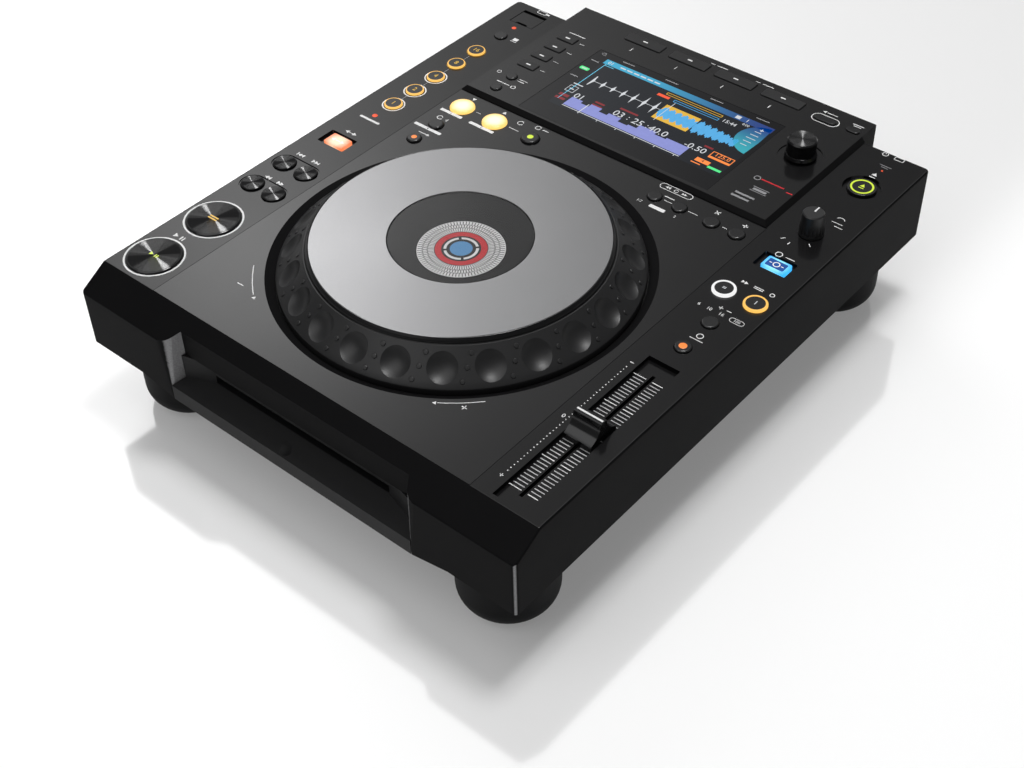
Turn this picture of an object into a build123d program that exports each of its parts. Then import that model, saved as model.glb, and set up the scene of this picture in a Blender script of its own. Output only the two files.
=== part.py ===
from build123d import *
import os
from dataclasses import dataclass

# Tabletop DJ disc player, in millimetres.
# X runs to the right, Y to the rear and Z up. The origin is on the table, under the middle of
# the player. The front face looks along -Y.

# ---------------------------------------------------------------- driving dimensions
WIDTH = 305.0
DEPTH = 384.0                 # front face to the back of the display hood
DECK = 88.4                   # height of the flat control deck above the table
SIDE_BOTTOM = 43.1            # lower edge of the side walls
BELLY_BOTTOM = 38.3           # lowest face of the housing, between the legs
WALL = 3.0
DECK_THICKNESS = 4.0

FRONT = -DEPTH / 2
BACK = DEPTH / 2
BEVEL_DEPTH = 18.1            # front bevel, seen from above
BEVEL_DROP = 10.4             # front bevel, seen from the front
DECK_FRONT = FRONT + BEVEL_DEPTH
DECK_REAR = 175.4             # rear wall of the housing
DECK_UNDERSIDE = DECK - DECK_THICKNESS
HALF = WIDTH / 2
REAR_CORNER = 3.0
FRONT_CORNER = 2.6
BLOCK_CORNER_LOW = 1.0        # inner corners of the two front blocks, beside the disc slot:
BLOCK_CORNER_HIGH = 11.0      # their rounding widens from the belly up to the deck

# centre panel, inset flush in the deck
PANEL_LEFT, PANEL_RIGHT = -111.9, 110.4
PANEL_THICKNESS = 2.0
PANEL_GAP = 0.25
PANEL_REAR = 72.0

# jog wheel
JOG_Y = -54.3
JOG_OPENING = 100.2           # radius of the hole in the panel
JOG_DISH_RADIUS = 105.3       # conical dish that leads down to the hole
JOG_DISH_DEPTH = 3.0
JOG_COLLAR = 106.5            # collar under the panel that carries the dish
JOG_SKIRT = 99.6              # outer radius of the wheel
JOG_TOP = 106.5               # top of the aluminium disc, the highest point of the player
JOG_DISC_RADIUS = 80.5
JOG_EYE_RADIUS = 39.2         # round window in the disc
JOG_POST_RADIUS = 22.0
LABEL_TOP = 97.4
DIMPLES = 24
DIMPLE_RING = 91.4
DIMPLE_RADIUS = 8.35
DIMPLE_DEPTH = 2.4
CONE_INNER = (83.4, 103.5)    # radius and height of the dimpled cone's inner edge
CONE_OUTER = (99.2, 89.0)

# display block
FRAME_RISE = 2.9
FRAME_TOP = DECK + FRAME_RISE
FRAME_LEFT, FRAME_RIGHT = -111.7, 109.7
FRAME_BEVEL = 2.5
FRAME_FRONT = PANEL_REAR
HOOD_BOTTOM = 68.0
HOOD_WALL, HOOD_SIDE = 2.5, 1.5
WINDOW_LEFT, WINDOW_RIGHT = -70.0, 67.0
WINDOW_FRONT, WINDOW_REAR = 76.5, 157.0
WINDOW_THICKNESS = 2.0
WELL_LEFT, WELL_RIGHT, WELL_FRONT = -107.0, 105.5, 78.5
WELL_FLOOR = 78.0             # how far the well lowers the rear wall, behind the hood

# disc slot in the front
RECESS_HALF_FRONT = 86.2
RECESS_HALF_BACK = 80.5
RECESS_BACK = FRONT + 8.8
LIP_UNDERSIDE = 67.4          # lower edge of the overhanging upper lip
LIP_TOP = 47.9                # top of the lower lip at the front face
SLOT_HALF = 62.0
SLOT_FLOOR, SLOT_ROOF = 55.1, 60.3
SLOT_MOUTH = FRONT + 12.1
BEZEL_BACK = -165.0

# disc drive
DRIVE_HALF = 74.0
DRIVE_FRONT, DRIVE_REAR = -163.0, -8.0
DRIVE_BOTTOM, DRIVE_TOP = 45.0, 65.5
SPINDLE_Y = -98.0

# legs
LEG_RADIUS = 26.8
LEG_ROUNDING = 13.6           # large round lower edge, shared by leg and rubber pad
LEG_COLUMNS = (-117.3, 117.3)
LEG_ROWS = (-156.9, 143.3)
PAD_HEIGHT = 4.0

# controls
STRIP_LEFT_X = -132.9
STRIP_RIGHT_X = 131.3
FADER_Y = -111.0
FADER_TRAVEL = 100.0
FADER_RECESS = (19.0, 120.4, 2.7)
FADER_CAP = (16.5, 19.6, 10.5)
HOLE_GAP = 0.3                # gap round every button in its hole
FLANGE = 1.0                  # collar under the deck that keeps a button in
BOARD_TOP = 78.6              # key boards under the deck
DISPLAY_BOARD_TOP = 80.6
BOARD_THICKNESS = 1.6
SELECTOR = (89.8, 137.2)
SPEED_KNOB = (131.3, 83.4)
USB = (-132.0, 159.4)

os.makedirs("parts", exist_ok=True)


# ---------------------------------------------------------------- buttons
@dataclass
class Button:
    """One push button: its outline, its place, how far it stands up and what it sits in."""

    name: str
    outline: str              # round, box or oval
    x: float
    y: float
    width: float
    depth: float
    rise: float               # top of the cap above its plate
    crown: float              # radius of its rounded upper edge
    plate: str = "deck"       # deck, panel (the inset centre panel) or frame (display block)
    travel: float = 0.8


BEAT_Y, BEAT_PITCH = 33.6, 19.1
KEY_X, KEY_Y, KEY_PITCH = -93.9, 153.7, 13.05
TOP_KEY_X, TOP_KEY_Y, TOP_KEY_PITCH = -52.4, 180.2, 34.2
LOOP_ROW = 57.2
PAIR_LEFT, PAIR_RIGHT = -140.9, -123.7
SEARCH_ROW, TRACK_ROW = -75.2, -49.9

BUTTONS = [
    Button("play_pause_button", "round", -133.2, -154.6, 31.4, 31.4, 1.2, 1.6, travel=1.0),
    Button("cue_button", "round", -132.7, -112.3, 31.4, 31.4, 1.2, 1.6, travel=1.0),
    Button("search_back_button", "round", PAIR_LEFT, SEARCH_ROW, 13.8, 13.8, 0.8, 0.7),
    Button("search_forward_button", "round", PAIR_RIGHT, SEARCH_ROW, 13.8, 13.8, 0.8, 0.7),
    Button("track_back_button", "round", PAIR_LEFT, TRACK_ROW, 13.8, 13.8, 0.8, 0.7),
    Button("track_forward_button", "round", PAIR_RIGHT, TRACK_ROW, 13.8, 13.8, 0.8, 0.7),
    Button("direction_button", "box", -131.7, -15.4, 14.6, 10.0, 0.6, 0.4),
    Button("usb_stop_button", "round", -132.8, 133.8, 8.4, 8.4, 1.0, 0.7),
    Button("four_beat_button", "round", -98.0, 33.4, 9.6, 9.6, 1.4, 1.1, "panel"),
    Button("slip_button", "round", -98.6, 14.9, 9.0, 9.0, 1.4, 1.1, "panel"),
    Button("loop_in_button", "round", -98.0, LOOP_ROW, 15.2, 15.2, 1.5, 1.1, "panel"),
    Button("loop_out_button", "round", -72.6, LOOP_ROW, 15.2, 15.2, 1.5, 1.1, "panel"),
    Button("reloop_button", "round", -44.9, LOOP_ROW, 11.4, 11.4, 1.6, 1.2, "panel"),
    Button("call_back_button", "round", 45.6, LOOP_ROW, 8.8, 8.8, 1.3, 1.0, "panel"),
    Button("call_next_button", "round", 62.6, LOOP_ROW, 8.8, 8.8, 1.3, 1.0, "panel"),
    Button("delete_button", "round", 83.9, LOOP_ROW, 9.6, 9.6, 1.3, 1.0, "panel"),
    Button("memory_button", "round", 100.5, LOOP_ROW, 9.6, 9.6, 1.3, 1.0, "panel"),
    Button("time_mode_button", "round", -93.4, 98.1, 7.0, 7.0, 1.0, 0.8, "frame", 0.5),
    Button("quantize_button", "round", -93.4, 83.2, 7.0, 7.0, 1.0, 0.8, "frame", 0.5),
    Button("back_button", "oval", 81.5, 177.2, 14.6, 5.4, 0.9, 0.6, "frame", 0.5),
    Button("tag_button", "oval", 100.0, 177.4, 8.6, 4.4, 0.9, 0.6, "frame", 0.5),
    Button("eject_button", "round", 131.0, 136.8, 16.6, 16.6, 0.4, 0.5),
    Button("jog_mode_button", "box", 132.0, 48.3, 14.6, 9.6, 0.6, 0.4),
    Button("sync_button", "round", 121.7, 14.5, 13.0, 13.0, 1.4, 0.5),
    Button("master_button", "round", 141.3, 14.5, 13.0, 13.0, 1.4, 0.5),
    Button("tempo_range_button", "round", STRIP_RIGHT_X, -11.9, 9.2, 9.2, 1.2, 0.9),
    Button("master_tempo_button", "round", STRIP_RIGHT_X, -35.5, 9.2, 9.2, 1.2, 0.9),
]
for i in range(5):
    beat = Button(f"beat_button_{i + 1}", "round", STRIP_LEFT_X, BEAT_Y + i * BEAT_PITCH,
                  11.0, 11.0, 1.3, 0.5)
    BUTTONS.append(beat)
for i in range(4):
    side_key = Button(f"display_key_{i + 1}", "box", KEY_X, KEY_Y - i * KEY_PITCH,
                      13.0, 7.2, 0.7, 0.5, "frame", 0.5)
    top_key = Button(f"top_key_{i + 1}", "box", TOP_KEY_X + i * TOP_KEY_PITCH, TOP_KEY_Y,
                     27.6, 8.6, 0.7, 0.5, "frame", 0.5)
    BUTTONS += [side_key, top_key]

PLATE_TOP = {"deck": DECK, "panel": DECK, "frame": FRAME_TOP}
PLATE_UNDERSIDE = {"deck": DECK_UNDERSIDE, "panel": DECK_UNDERSIDE, "frame": DECK}
SWITCH_BOARD_TOP = {"deck": BOARD_TOP, "panel": BOARD_TOP, "frame": DISPLAY_BOARD_TOP}
STEM_ABOVE_BOARD = 2.4
BOX_CORNER = 1.2
STEM_RADIUS = 1.8


def draw_outline(button, grow=0.0):
    """The button's outline, drawn round the origin of the sketch, larger by grow all round."""
    if button.outline == "round":
        Circle(button.width / 2 + grow)
    elif button.outline == "oval":
        SlotOverall(button.width + 2 * grow, button.depth + 2 * grow)
    else:
        RectangleRounded(button.width + 2 * grow, button.depth + 2 * grow, BOX_CORNER + grow)


def cut_button_holes(plates, low, high, extra=0.0):
    """Cuts the hole of every button on these plates, from height low up to height high."""
    for button in BUTTONS:
        if button.plate in plates:
            with BuildSketch(Plane((button.x, button.y, low))) as hole:
                draw_outline(button, HOLE_GAP + extra)
            extrude(hole.sketch, amount=high - low, mode=Mode.SUBTRACT)


for spec in BUTTONS:
    top = PLATE_TOP[spec.plate] + spec.rise
    flange_top = PLATE_UNDERSIDE[spec.plate] - 0.2
    with BuildPart() as button:
        with BuildSketch(Plane((spec.x, spec.y, flange_top))):
            draw_outline(spec)
        extrude(amount=top - flange_top)
        crown_edges = button.edges().group_by(Axis.Z)[-1]
        fillet(crown_edges, radius=spec.crown)
        with BuildSketch(Plane((spec.x, spec.y, flange_top - FLANGE))):
            draw_outline(spec, FLANGE)
            with Locations((-spec.x, -spec.y)):
                Rectangle(2 * (HALF - WALL - 0.2), 2 * DEPTH, mode=Mode.INTERSECT)
        extrude(amount=FLANGE)
        stem_end = SWITCH_BOARD_TOP[spec.plate] + STEM_ABOVE_BOARD
        with BuildSketch(Plane((spec.x, spec.y, stem_end))):
            Circle(STEM_RADIUS)
        extrude(amount=flange_top - FLANGE - stem_end)
    button.part.label = spec.name
    export_step(button.part, f"parts/{spec.name}.step")

# ---------------------------------------------------------------- top housing
SIDE_VIEW = [
    (FRONT, SIDE_BOTTOM),
    (FRONT, DECK - BEVEL_DROP),
    (DECK_FRONT, DECK),
    (DECK_REAR, DECK),
    (DECK_REAR, SIDE_BOTTOM),
]
INNER_SIDE_VIEW = [
    (FRONT + WALL, SIDE_BOTTOM - 1),
    (FRONT + WALL, DECK - BEVEL_DROP - 2.0),
    (DECK_FRONT - 0.7, DECK_UNDERSIDE),
    (DECK_REAR - WALL, DECK_UNDERSIDE),
    (DECK_REAR - WALL, SIDE_BOTTOM - 1),
]
SCREW_PLACES = [(side * 144.6, y) for side in (-1, 1) for y in (-88.0, 29.0, 115.0)]
SCREW_PLACES += [(side * 115.2, y) for side in (-1, 1) for y in (-62.0, 92.0)]
SCREW_RADIUS = 1.4
BOSS_RADIUS = 3.6
POST_RADIUS = 2.4
KEY_BOARD_POSTS = [
    (-145.0, -133.0), (-120.0, -133.0), (-132.3, -62.5), (-145.0, 5.0), (-120.0, 122.0),
    (-105.0, 45.0), (-60.0, 64.0), (53.5, 64.0), (106.0, 50.5), (118.0, 30.0), (118.0, 115.0),
    (145.0, -20.0),
]
CONNECTOR_HALF = 92.0         # opening for the connector plate in the rear wall
CONNECTOR_BOTTOM, CONNECTOR_TOP = 46.6, 66.4
POWER_X, POWER_Z, POWER_RADIUS = 124.0, 62.0, 4.6


def recess_plan(grow):
    """Corners of the disc-slot recess in plan, wider by grow, starting in front of the housing."""
    ahead = FRONT - 10
    back = RECESS_BACK + grow
    wide = RECESS_HALF_FRONT + grow
    clear = wide + 12
    slant = (RECESS_HALF_FRONT - RECESS_HALF_BACK) / (RECESS_BACK - FRONT)
    narrow = wide - slant * (back - FRONT)
    return [(-clear, ahead), (-clear, FRONT), (-wide, FRONT), (-narrow, back), (narrow, back),
            (wide, FRONT), (clear, FRONT), (clear, ahead)]


with BuildPart() as inner_space:
    with BuildSketch(Plane.YZ):
        with BuildLine():
            Polyline(*INNER_SIDE_VIEW, close=True)
        make_face()
    extrude(amount=HALF - WALL, both=True)
    with BuildSketch(Plane.XY):
        with BuildLine():
            Polyline(*recess_plan(WALL), close=True)
        make_face()
    extrude(amount=DECK, mode=Mode.SUBTRACT)

with BuildPart() as top_housing:
    with BuildSketch(Plane.YZ):
        with BuildLine():
            Polyline(*SIDE_VIEW, close=True)
        make_face()
    extrude(amount=HALF, both=True)
    upright = top_housing.edges().filter_by(Axis.Z)
    fillet(upright.group_by(Axis.Y)[-1], radius=REAR_CORNER)
    fillet(upright.group_by(Axis.Y)[0], radius=FRONT_CORNER)
    rims = top_housing.faces().sort_by(Axis.Z)[-1].edges().filter_by(Axis.X, reverse=True)
    fillet(rims, radius=1.2)
    ridge = top_housing.edges().filter_by(Axis.X).group_by(Axis.Y)[0].sort_by(Axis.Z)[-1]
    fillet(ridge, radius=1.0)
    add(inner_space.part, mode=Mode.SUBTRACT)
    # front wall follows the belly down to the middle
    for side in (-1, 1):
        with BuildSketch(Plane.XZ.offset(-FRONT)):
            with BuildLine():
                Polyline((side * RECESS_HALF_FRONT, SIDE_BOTTOM), (side * 110.0, SIDE_BOTTOM),
                         (side * RECESS_HALF_FRONT, BELLY_BOTTOM), close=True)
            make_face()
        extrude(amount=-WALL)
    # recess of the disc slot, with rounded inner corners of the two front blocks
    for height, corner in ((BELLY_BOTTOM - 1, BLOCK_CORNER_LOW), (DECK, BLOCK_CORNER_HIGH)):
        with BuildSketch(Plane.XY.offset(height)):
            with BuildLine():
                Polyline(*recess_plan(0), close=True)
            plan = make_face()
            block_corners = plan.vertices().group_by(Axis.Y)[1].sort_by(Axis.X)[1:3]
            fillet(block_corners, radius=corner)
    loft(ruled=True, mode=Mode.SUBTRACT)
    # passage for the slot bezel under the upper lip
    with BuildSketch(Plane.XY):
        with Locations((0, RECESS_BACK)):
            Rectangle(2 * RECESS_HALF_BACK, 12)
    extrude(amount=LIP_UNDERSIDE, mode=Mode.SUBTRACT)
    # pocket for the centre panel and the hole for the jog wheel
    with BuildSketch(Plane.XY.offset(DECK - PANEL_THICKNESS)):
        with Locations(((PANEL_LEFT + PANEL_RIGHT) / 2, (DECK_FRONT + PANEL_REAR) / 2)):
            Rectangle(PANEL_RIGHT - PANEL_LEFT, PANEL_REAR - DECK_FRONT)
    extrude(amount=PANEL_THICKNESS + 1, mode=Mode.SUBTRACT)
    with BuildSketch(Plane.XY.offset(DECK_UNDERSIDE - 1)):
        with Locations((0, JOG_Y)):
            Circle(JOG_COLLAR + 0.5)
    extrude(amount=DECK_THICKNESS + 2, mode=Mode.SUBTRACT)
    # well under the display block, open to the hood at the rear
    with BuildSketch(Plane.XY.offset(WELL_FLOOR)):
        with Locations(((WELL_LEFT + WELL_RIGHT) / 2, (WELL_FRONT + BACK) / 2)):
            Rectangle(WELL_RIGHT - WELL_LEFT, BACK - WELL_FRONT)
    extrude(amount=DECK + 1 - WELL_FLOOR, mode=Mode.SUBTRACT)
    # shallow dishes round the lit keys and the eject button
    with BuildSketch(Plane.XY.offset(DECK - 1.8)):
        with Locations((-132.7, -14.9), (130.9, 48.9)):
            RectangleRounded(20.4, 13.2, 1.0)
        with Locations((131.0, 136.8)):
            Circle(11.2)
    extrude(amount=3, mode=Mode.SUBTRACT)
    # each pair of search buttons shares a shallow oval dish
    with BuildSketch(Plane.XY.offset(DECK - 0.5)):
        with Locations(((PAIR_LEFT + PAIR_RIGHT) / 2, SEARCH_ROW),
                       ((PAIR_LEFT + PAIR_RIGHT) / 2, TRACK_ROW)):
            SlotCenterToCenter(PAIR_RIGHT - PAIR_LEFT, 16.0)
    extrude(amount=1, mode=Mode.SUBTRACT)
    # tempo fader: shallow tray and the groove for its stem
    tray_width, tray_length, tray_depth = FADER_RECESS
    with BuildSketch(Plane.XY.offset(DECK - tray_depth)):
        with Locations((STRIP_RIGHT_X, FADER_Y)):
            Rectangle(tray_width, tray_length)
    extrude(amount=tray_depth + 1, mode=Mode.SUBTRACT)
    with BuildSketch(Plane.XY.offset(DECK_UNDERSIDE - 1)):
        with Locations((STRIP_RIGHT_X, FADER_Y)):
            Rectangle(2.0, FADER_TRAVEL + 3.2)
    extrude(amount=DECK_THICKNESS, mode=Mode.SUBTRACT)
    cut_button_holes(("deck",), DECK_UNDERSIDE - 2, DECK + 1)
    cut_button_holes(("panel",), DECK_UNDERSIDE - 1, DECK + 1, extra=0.4)
    # shaft hole of the speed knob
    with BuildSketch(Plane((SPEED_KNOB[0], SPEED_KNOB[1], DECK_UNDERSIDE - 1))):
        Circle(3.5)
    extrude(amount=DECK_THICKNESS + 2, mode=Mode.SUBTRACT)
    # USB pocket and the bores of its cover's hinge pins
    with BuildSketch(Plane((USB[0], USB[1] + 0.9, DECK_UNDERSIDE - 1))):
        Rectangle(18.6, 16.2)
    extrude(amount=DECK_THICKNESS + 2, mode=Mode.SUBTRACT)
    with BuildSketch(Plane(origin=(USB[0], USB[1] + 6.4, DECK - 1.8), z_dir=(1, 0, 0))):
        Circle(0.85)
    extrude(amount=10.8, both=True, mode=Mode.SUBTRACT)
    # openings in the rear wall: connector plate and power button
    with BuildSketch(Plane.XZ.offset(-DECK_REAR - 1)):
        with Locations((0, (CONNECTOR_BOTTOM + CONNECTOR_TOP) / 2)):
            Rectangle(2 * CONNECTOR_HALF, CONNECTOR_TOP - CONNECTOR_BOTTOM)
        with Locations((POWER_X, POWER_Z)):
            Circle(POWER_RADIUS + HOLE_GAP)
    extrude(amount=WALL + 2, mode=Mode.SUBTRACT)
    # screw bosses down to the pan, and short posts that carry the key boards
    with BuildSketch(Plane.XY.offset(SIDE_BOTTOM + 2.5)):
        with Locations(*SCREW_PLACES):
            Circle(BOSS_RADIUS)
    extrude(amount=DECK_UNDERSIDE - SIDE_BOTTOM - 2.5)
    with BuildSketch(Plane.XY.offset(SIDE_BOTTOM)):
        with Locations(*SCREW_PLACES):
            Circle(SCREW_RADIUS + 0.05)
    extrude(amount=18, mode=Mode.SUBTRACT)
    with BuildSketch(Plane.XY.offset(BOARD_TOP)):
        with Locations(*KEY_BOARD_POSTS):
            Circle(POST_RADIUS)
    extrude(amount=DECK_UNDERSIDE - BOARD_TOP)
top_housing.part.label = "top_housing"
export_step(top_housing.part, "parts/top_housing.step")

# ---------------------------------------------------------------- centre panel
with BuildPart() as centre_panel:
    with BuildSketch(Plane.XY.offset(DECK - PANEL_THICKNESS)):
        with Locations(((PANEL_LEFT + PANEL_RIGHT) / 2, (DECK_FRONT + PANEL_REAR) / 2)):
            Rectangle(PANEL_RIGHT - PANEL_LEFT - 2 * PANEL_GAP,
                      PANEL_REAR - DECK_FRONT - 2 * PANEL_GAP)
        with Locations((0, JOG_Y)):
            Circle(JOG_OPENING, mode=Mode.SUBTRACT)
    extrude(amount=PANEL_THICKNESS)
    # collar round the jog wheel, with the dish in its top
    with BuildSketch(Plane.XY.offset(DECK - JOG_DISH_DEPTH - 0.8)):
        with Locations((0, JOG_Y)):
            Circle(JOG_COLLAR)
            Circle(JOG_OPENING, mode=Mode.SUBTRACT)
    extrude(amount=JOG_DISH_DEPTH + 0.8 - PANEL_THICKNESS)
    with Locations((0, JOG_Y, DECK - JOG_DISH_DEPTH / 2)):
        Cone(JOG_OPENING, JOG_DISH_RADIUS, JOG_DISH_DEPTH, mode=Mode.SUBTRACT)
    cut_button_holes(("panel",), DECK - PANEL_THICKNESS - 1, DECK + 1)
centre_panel.part.label = "centre_panel"
export_step(centre_panel.part, "parts/centre_panel.step")

# ---------------------------------------------------------------- slot bezel
BEZEL_GAP = 0.15
CHEEK_FRONT = FRONT + 6.8       # where the flared cheeks meet the blocks' side faces
CHEEK_HALF = RECESS_HALF_FRONT - 4.4

# space in front of the slot: a ramp that rises to its mouth, between two flared cheeks
with BuildPart() as slot_mouth:
    with BuildSketch(Plane.YZ):
        with BuildLine():
            Polyline((FRONT - 1, LIP_TOP - 0.6), (SLOT_MOUTH, SLOT_FLOOR),
                     (SLOT_MOUTH, SLOT_ROOF + 4.4), (RECESS_BACK, LIP_UNDERSIDE),
                     (FRONT - 1, LIP_UNDERSIDE), close=True)
        make_face()
    extrude(amount=RECESS_HALF_FRONT + 2, both=True)
    with BuildSketch(Plane.XY.offset(LIP_TOP - 2)):
        with BuildLine():
            Polyline((-RECESS_HALF_FRONT - 1, FRONT - 1), (-CHEEK_HALF, CHEEK_FRONT),
                     (-SLOT_HALF, SLOT_MOUTH), (SLOT_HALF, SLOT_MOUTH),
                     (CHEEK_HALF, CHEEK_FRONT), (RECESS_HALF_FRONT + 1, FRONT - 1), close=True)
        make_face()
    extrude(amount=LIP_UNDERSIDE - LIP_TOP + 4, mode=Mode.INTERSECT)

with BuildPart() as slot_bezel:
    # plan: follows the recess between the two front blocks, then runs back to the drive
    half_front = RECESS_HALF_FRONT - BEZEL_GAP
    half_back = RECESS_HALF_BACK - BEZEL_GAP
    with BuildSketch(Plane.XY.offset(BELLY_BOTTOM)):
        with BuildLine():
            Polyline((-half_front, FRONT), (half_front, FRONT), (half_back, RECESS_BACK),
                     (half_back, BEZEL_BACK), (-half_back, BEZEL_BACK),
                     (-half_back, RECESS_BACK), close=True)
        make_face()
    extrude(amount=LIP_UNDERSIDE - 0.1 - BELLY_BOTTOM)
    add(slot_mouth.part, mode=Mode.SUBTRACT)
    # the slot itself, through to the drive
    with BuildSketch(Plane.XZ.offset(-BEZEL_BACK - 1)):
        with Locations((0, (SLOT_FLOOR + SLOT_ROOF) / 2)):
            Rectangle(2 * SLOT_HALF, SLOT_ROOF - SLOT_FLOOR)
    extrude(amount=BEZEL_BACK - SLOT_MOUTH + 2, mode=Mode.SUBTRACT)
    # hollow underside
    with BuildSketch(Plane.XY.offset(BELLY_BOTTOM - 1)):
        with Locations((0, (FRONT + 3 + BEZEL_BACK - 3) / 2)):
            Rectangle(150, BEZEL_BACK - FRONT - 6)
    extrude(amount=LIP_TOP - 3 - BELLY_BOTTOM + 1, mode=Mode.SUBTRACT)
    # finger scoop in the middle of the ramp
    with Locations((-3.0, FRONT + 0.1, LIP_TOP + 9.4)):
        Sphere(9, mode=Mode.SUBTRACT)
slot_bezel.part.label = "slot_bezel"
export_step(slot_bezel.part, "parts/slot_bezel.step")

# ---------------------------------------------------------------- bottom pan with legs
PAN = 2.5
PAN_HALF = HALF - WALL - 0.2
PAN_VIEW = [
    (-PAN_HALF, SIDE_BOTTOM), (-110.0, SIDE_BOTTOM), (-86.7, BELLY_BOTTOM), (86.7, BELLY_BOTTOM),
    (110.0, SIDE_BOTTOM), (PAN_HALF, SIDE_BOTTOM), (PAN_HALF, SIDE_BOTTOM + PAN),
    (109.6, SIDE_BOTTOM + PAN), (86.3, BELLY_BOTTOM + PAN), (-86.3, BELLY_BOTTOM + PAN),
    (-109.6, SIDE_BOTTOM + PAN), (-PAN_HALF, SIDE_BOTTOM + PAN),
]
PAN_FRONT = FRONT + WALL + 0.2
PAN_REAR = DECK_REAR - WALL - 0.2
DRIVE_POSTS = [(sx * 67.0, y) for sx in (-1, 1) for y in (-150.0, -22.0)]
MAIN_BOARD = (-84.0, 20.0, 12.0, 150.0)       # left, right, front, rear
POWER_BOARD = (26.0, 84.0, 12.0, 150.0)
LOW_BOARD = 46.0
BOARD_INSET = 5.0


def board_corners(board):
    """The four mounting points of a board, a little inside its corners."""
    left, right, front, rear = board
    return [(x, y) for x in (left + BOARD_INSET, right - BOARD_INSET)
            for y in (front + BOARD_INSET, rear - BOARD_INSET)]


LEG_PLACES = [(x, y) for x in LEG_COLUMNS for y in LEG_ROWS]
with BuildPart() as bottom_pan:
    with BuildSketch(Plane.XZ.offset(-PAN_FRONT)):
        with BuildLine():
            Polyline(*PAN_VIEW, close=True)
        make_face()
    extrude(amount=-(PAN_REAR - PAN_FRONT))
    with BuildSketch(Plane.XY.offset(BELLY_BOTTOM - 1)):
        with Locations((0, (PAN_FRONT + BEZEL_BACK) / 2)):
            Rectangle(2 * RECESS_HALF_FRONT + 10, BEZEL_BACK - PAN_FRONT + 0.6)
    extrude(amount=12, mode=Mode.SUBTRACT)
    # ventilation slots in the belly
    with BuildSketch(Plane.XY.offset(BELLY_BOTTOM - 1)):
        with GridLocations(11.0, 62.0, 9, 2):
            SlotOverall(44, 3.4, rotation=90)
    extrude(amount=PAN + 2, mode=Mode.SUBTRACT)
    # legs: round, hollow, open towards the inside
    with BuildSketch(Plane.XY):
        with Locations(*LEG_PLACES):
            Circle(LEG_RADIUS)
    extrude(amount=SIDE_BOTTOM + PAN)
    fillet(bottom_pan.edges().group_by(Axis.Z)[0], radius=LEG_ROUNDING)
    split(bisect_by=Plane.XY.offset(PAD_HEIGHT), keep=Keep.TOP)
    with BuildSketch(Plane.XY.offset(PAD_HEIGHT + WALL)):
        with Locations(*LEG_PLACES):
            Circle(LEG_RADIUS - 5)
    extrude(amount=SIDE_BOTTOM + PAN, mode=Mode.SUBTRACT)
    # posts under the drive and the two lower boards
    with BuildSketch(Plane.XY.offset(BELLY_BOTTOM + PAN)):
        with Locations(*DRIVE_POSTS):
            Circle(4)
    extrude(amount=DRIVE_BOTTOM - BELLY_BOTTOM - PAN)
    with BuildSketch(Plane.XY.offset(BELLY_BOTTOM + PAN)):
        with Locations(*board_corners(MAIN_BOARD), *board_corners(POWER_BOARD)):
            Circle(3)
    extrude(amount=LOW_BOARD - BELLY_BOTTOM - PAN)
    with BuildSketch(Plane.XY.offset(BELLY_BOTTOM - 1)):
        with Locations(*SCREW_PLACES):
            Circle(SCREW_RADIUS + 0.3)
    extrude(amount=12, mode=Mode.SUBTRACT)
bottom_pan.part.label = "bottom_pan"
export_step(bottom_pan.part, "parts/bottom_pan.step")

with BuildPart() as rubber_feet:
    with BuildSketch(Plane.XY):
        with Locations(*LEG_PLACES):
            Circle(LEG_RADIUS)
    extrude(amount=LEG_ROUNDING + 1)
    fillet(rubber_feet.edges().group_by(Axis.Z)[0], radius=LEG_ROUNDING)
    split(bisect_by=Plane.XY.offset(PAD_HEIGHT), keep=Keep.BOTTOM)
rubber_feet.part.label = "rubber_feet"
export_step(rubber_feet.part, "parts/rubber_feet.step")


def pan_height(x):
    """Height of the pan's underside at x: flat at the sides, sloping down to the belly."""
    inner, outer = 86.7, 110.0
    share = min(max((abs(x) - inner) / (outer - inner), 0), 1)
    return BELLY_BOTTOM + share * (SIDE_BOTTOM - BELLY_BOTTOM)


with BuildPart() as case_screws:
    for x, y in SCREW_PLACES:
        seat = pan_height(x) - 0.7 * (abs(x) < 110)
        with BuildSketch(Plane((x, y, seat))):
            Circle(SCREW_RADIUS)
        extrude(amount=SIDE_BOTTOM + 16 - seat)
        with BuildSketch(Plane((x, y, seat - 1.8))):
            Circle(2.9)
        extrude(amount=1.8)
        with BuildSketch(Plane((x, y, seat - 1.8))):
            Rectangle(3.4, 0.7)
            Rectangle(0.7, 3.4)
        extrude(amount=1.0, mode=Mode.SUBTRACT)
case_screws.part.label = "case_screws"
export_step(case_screws.part, "parts/case_screws.step")

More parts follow.
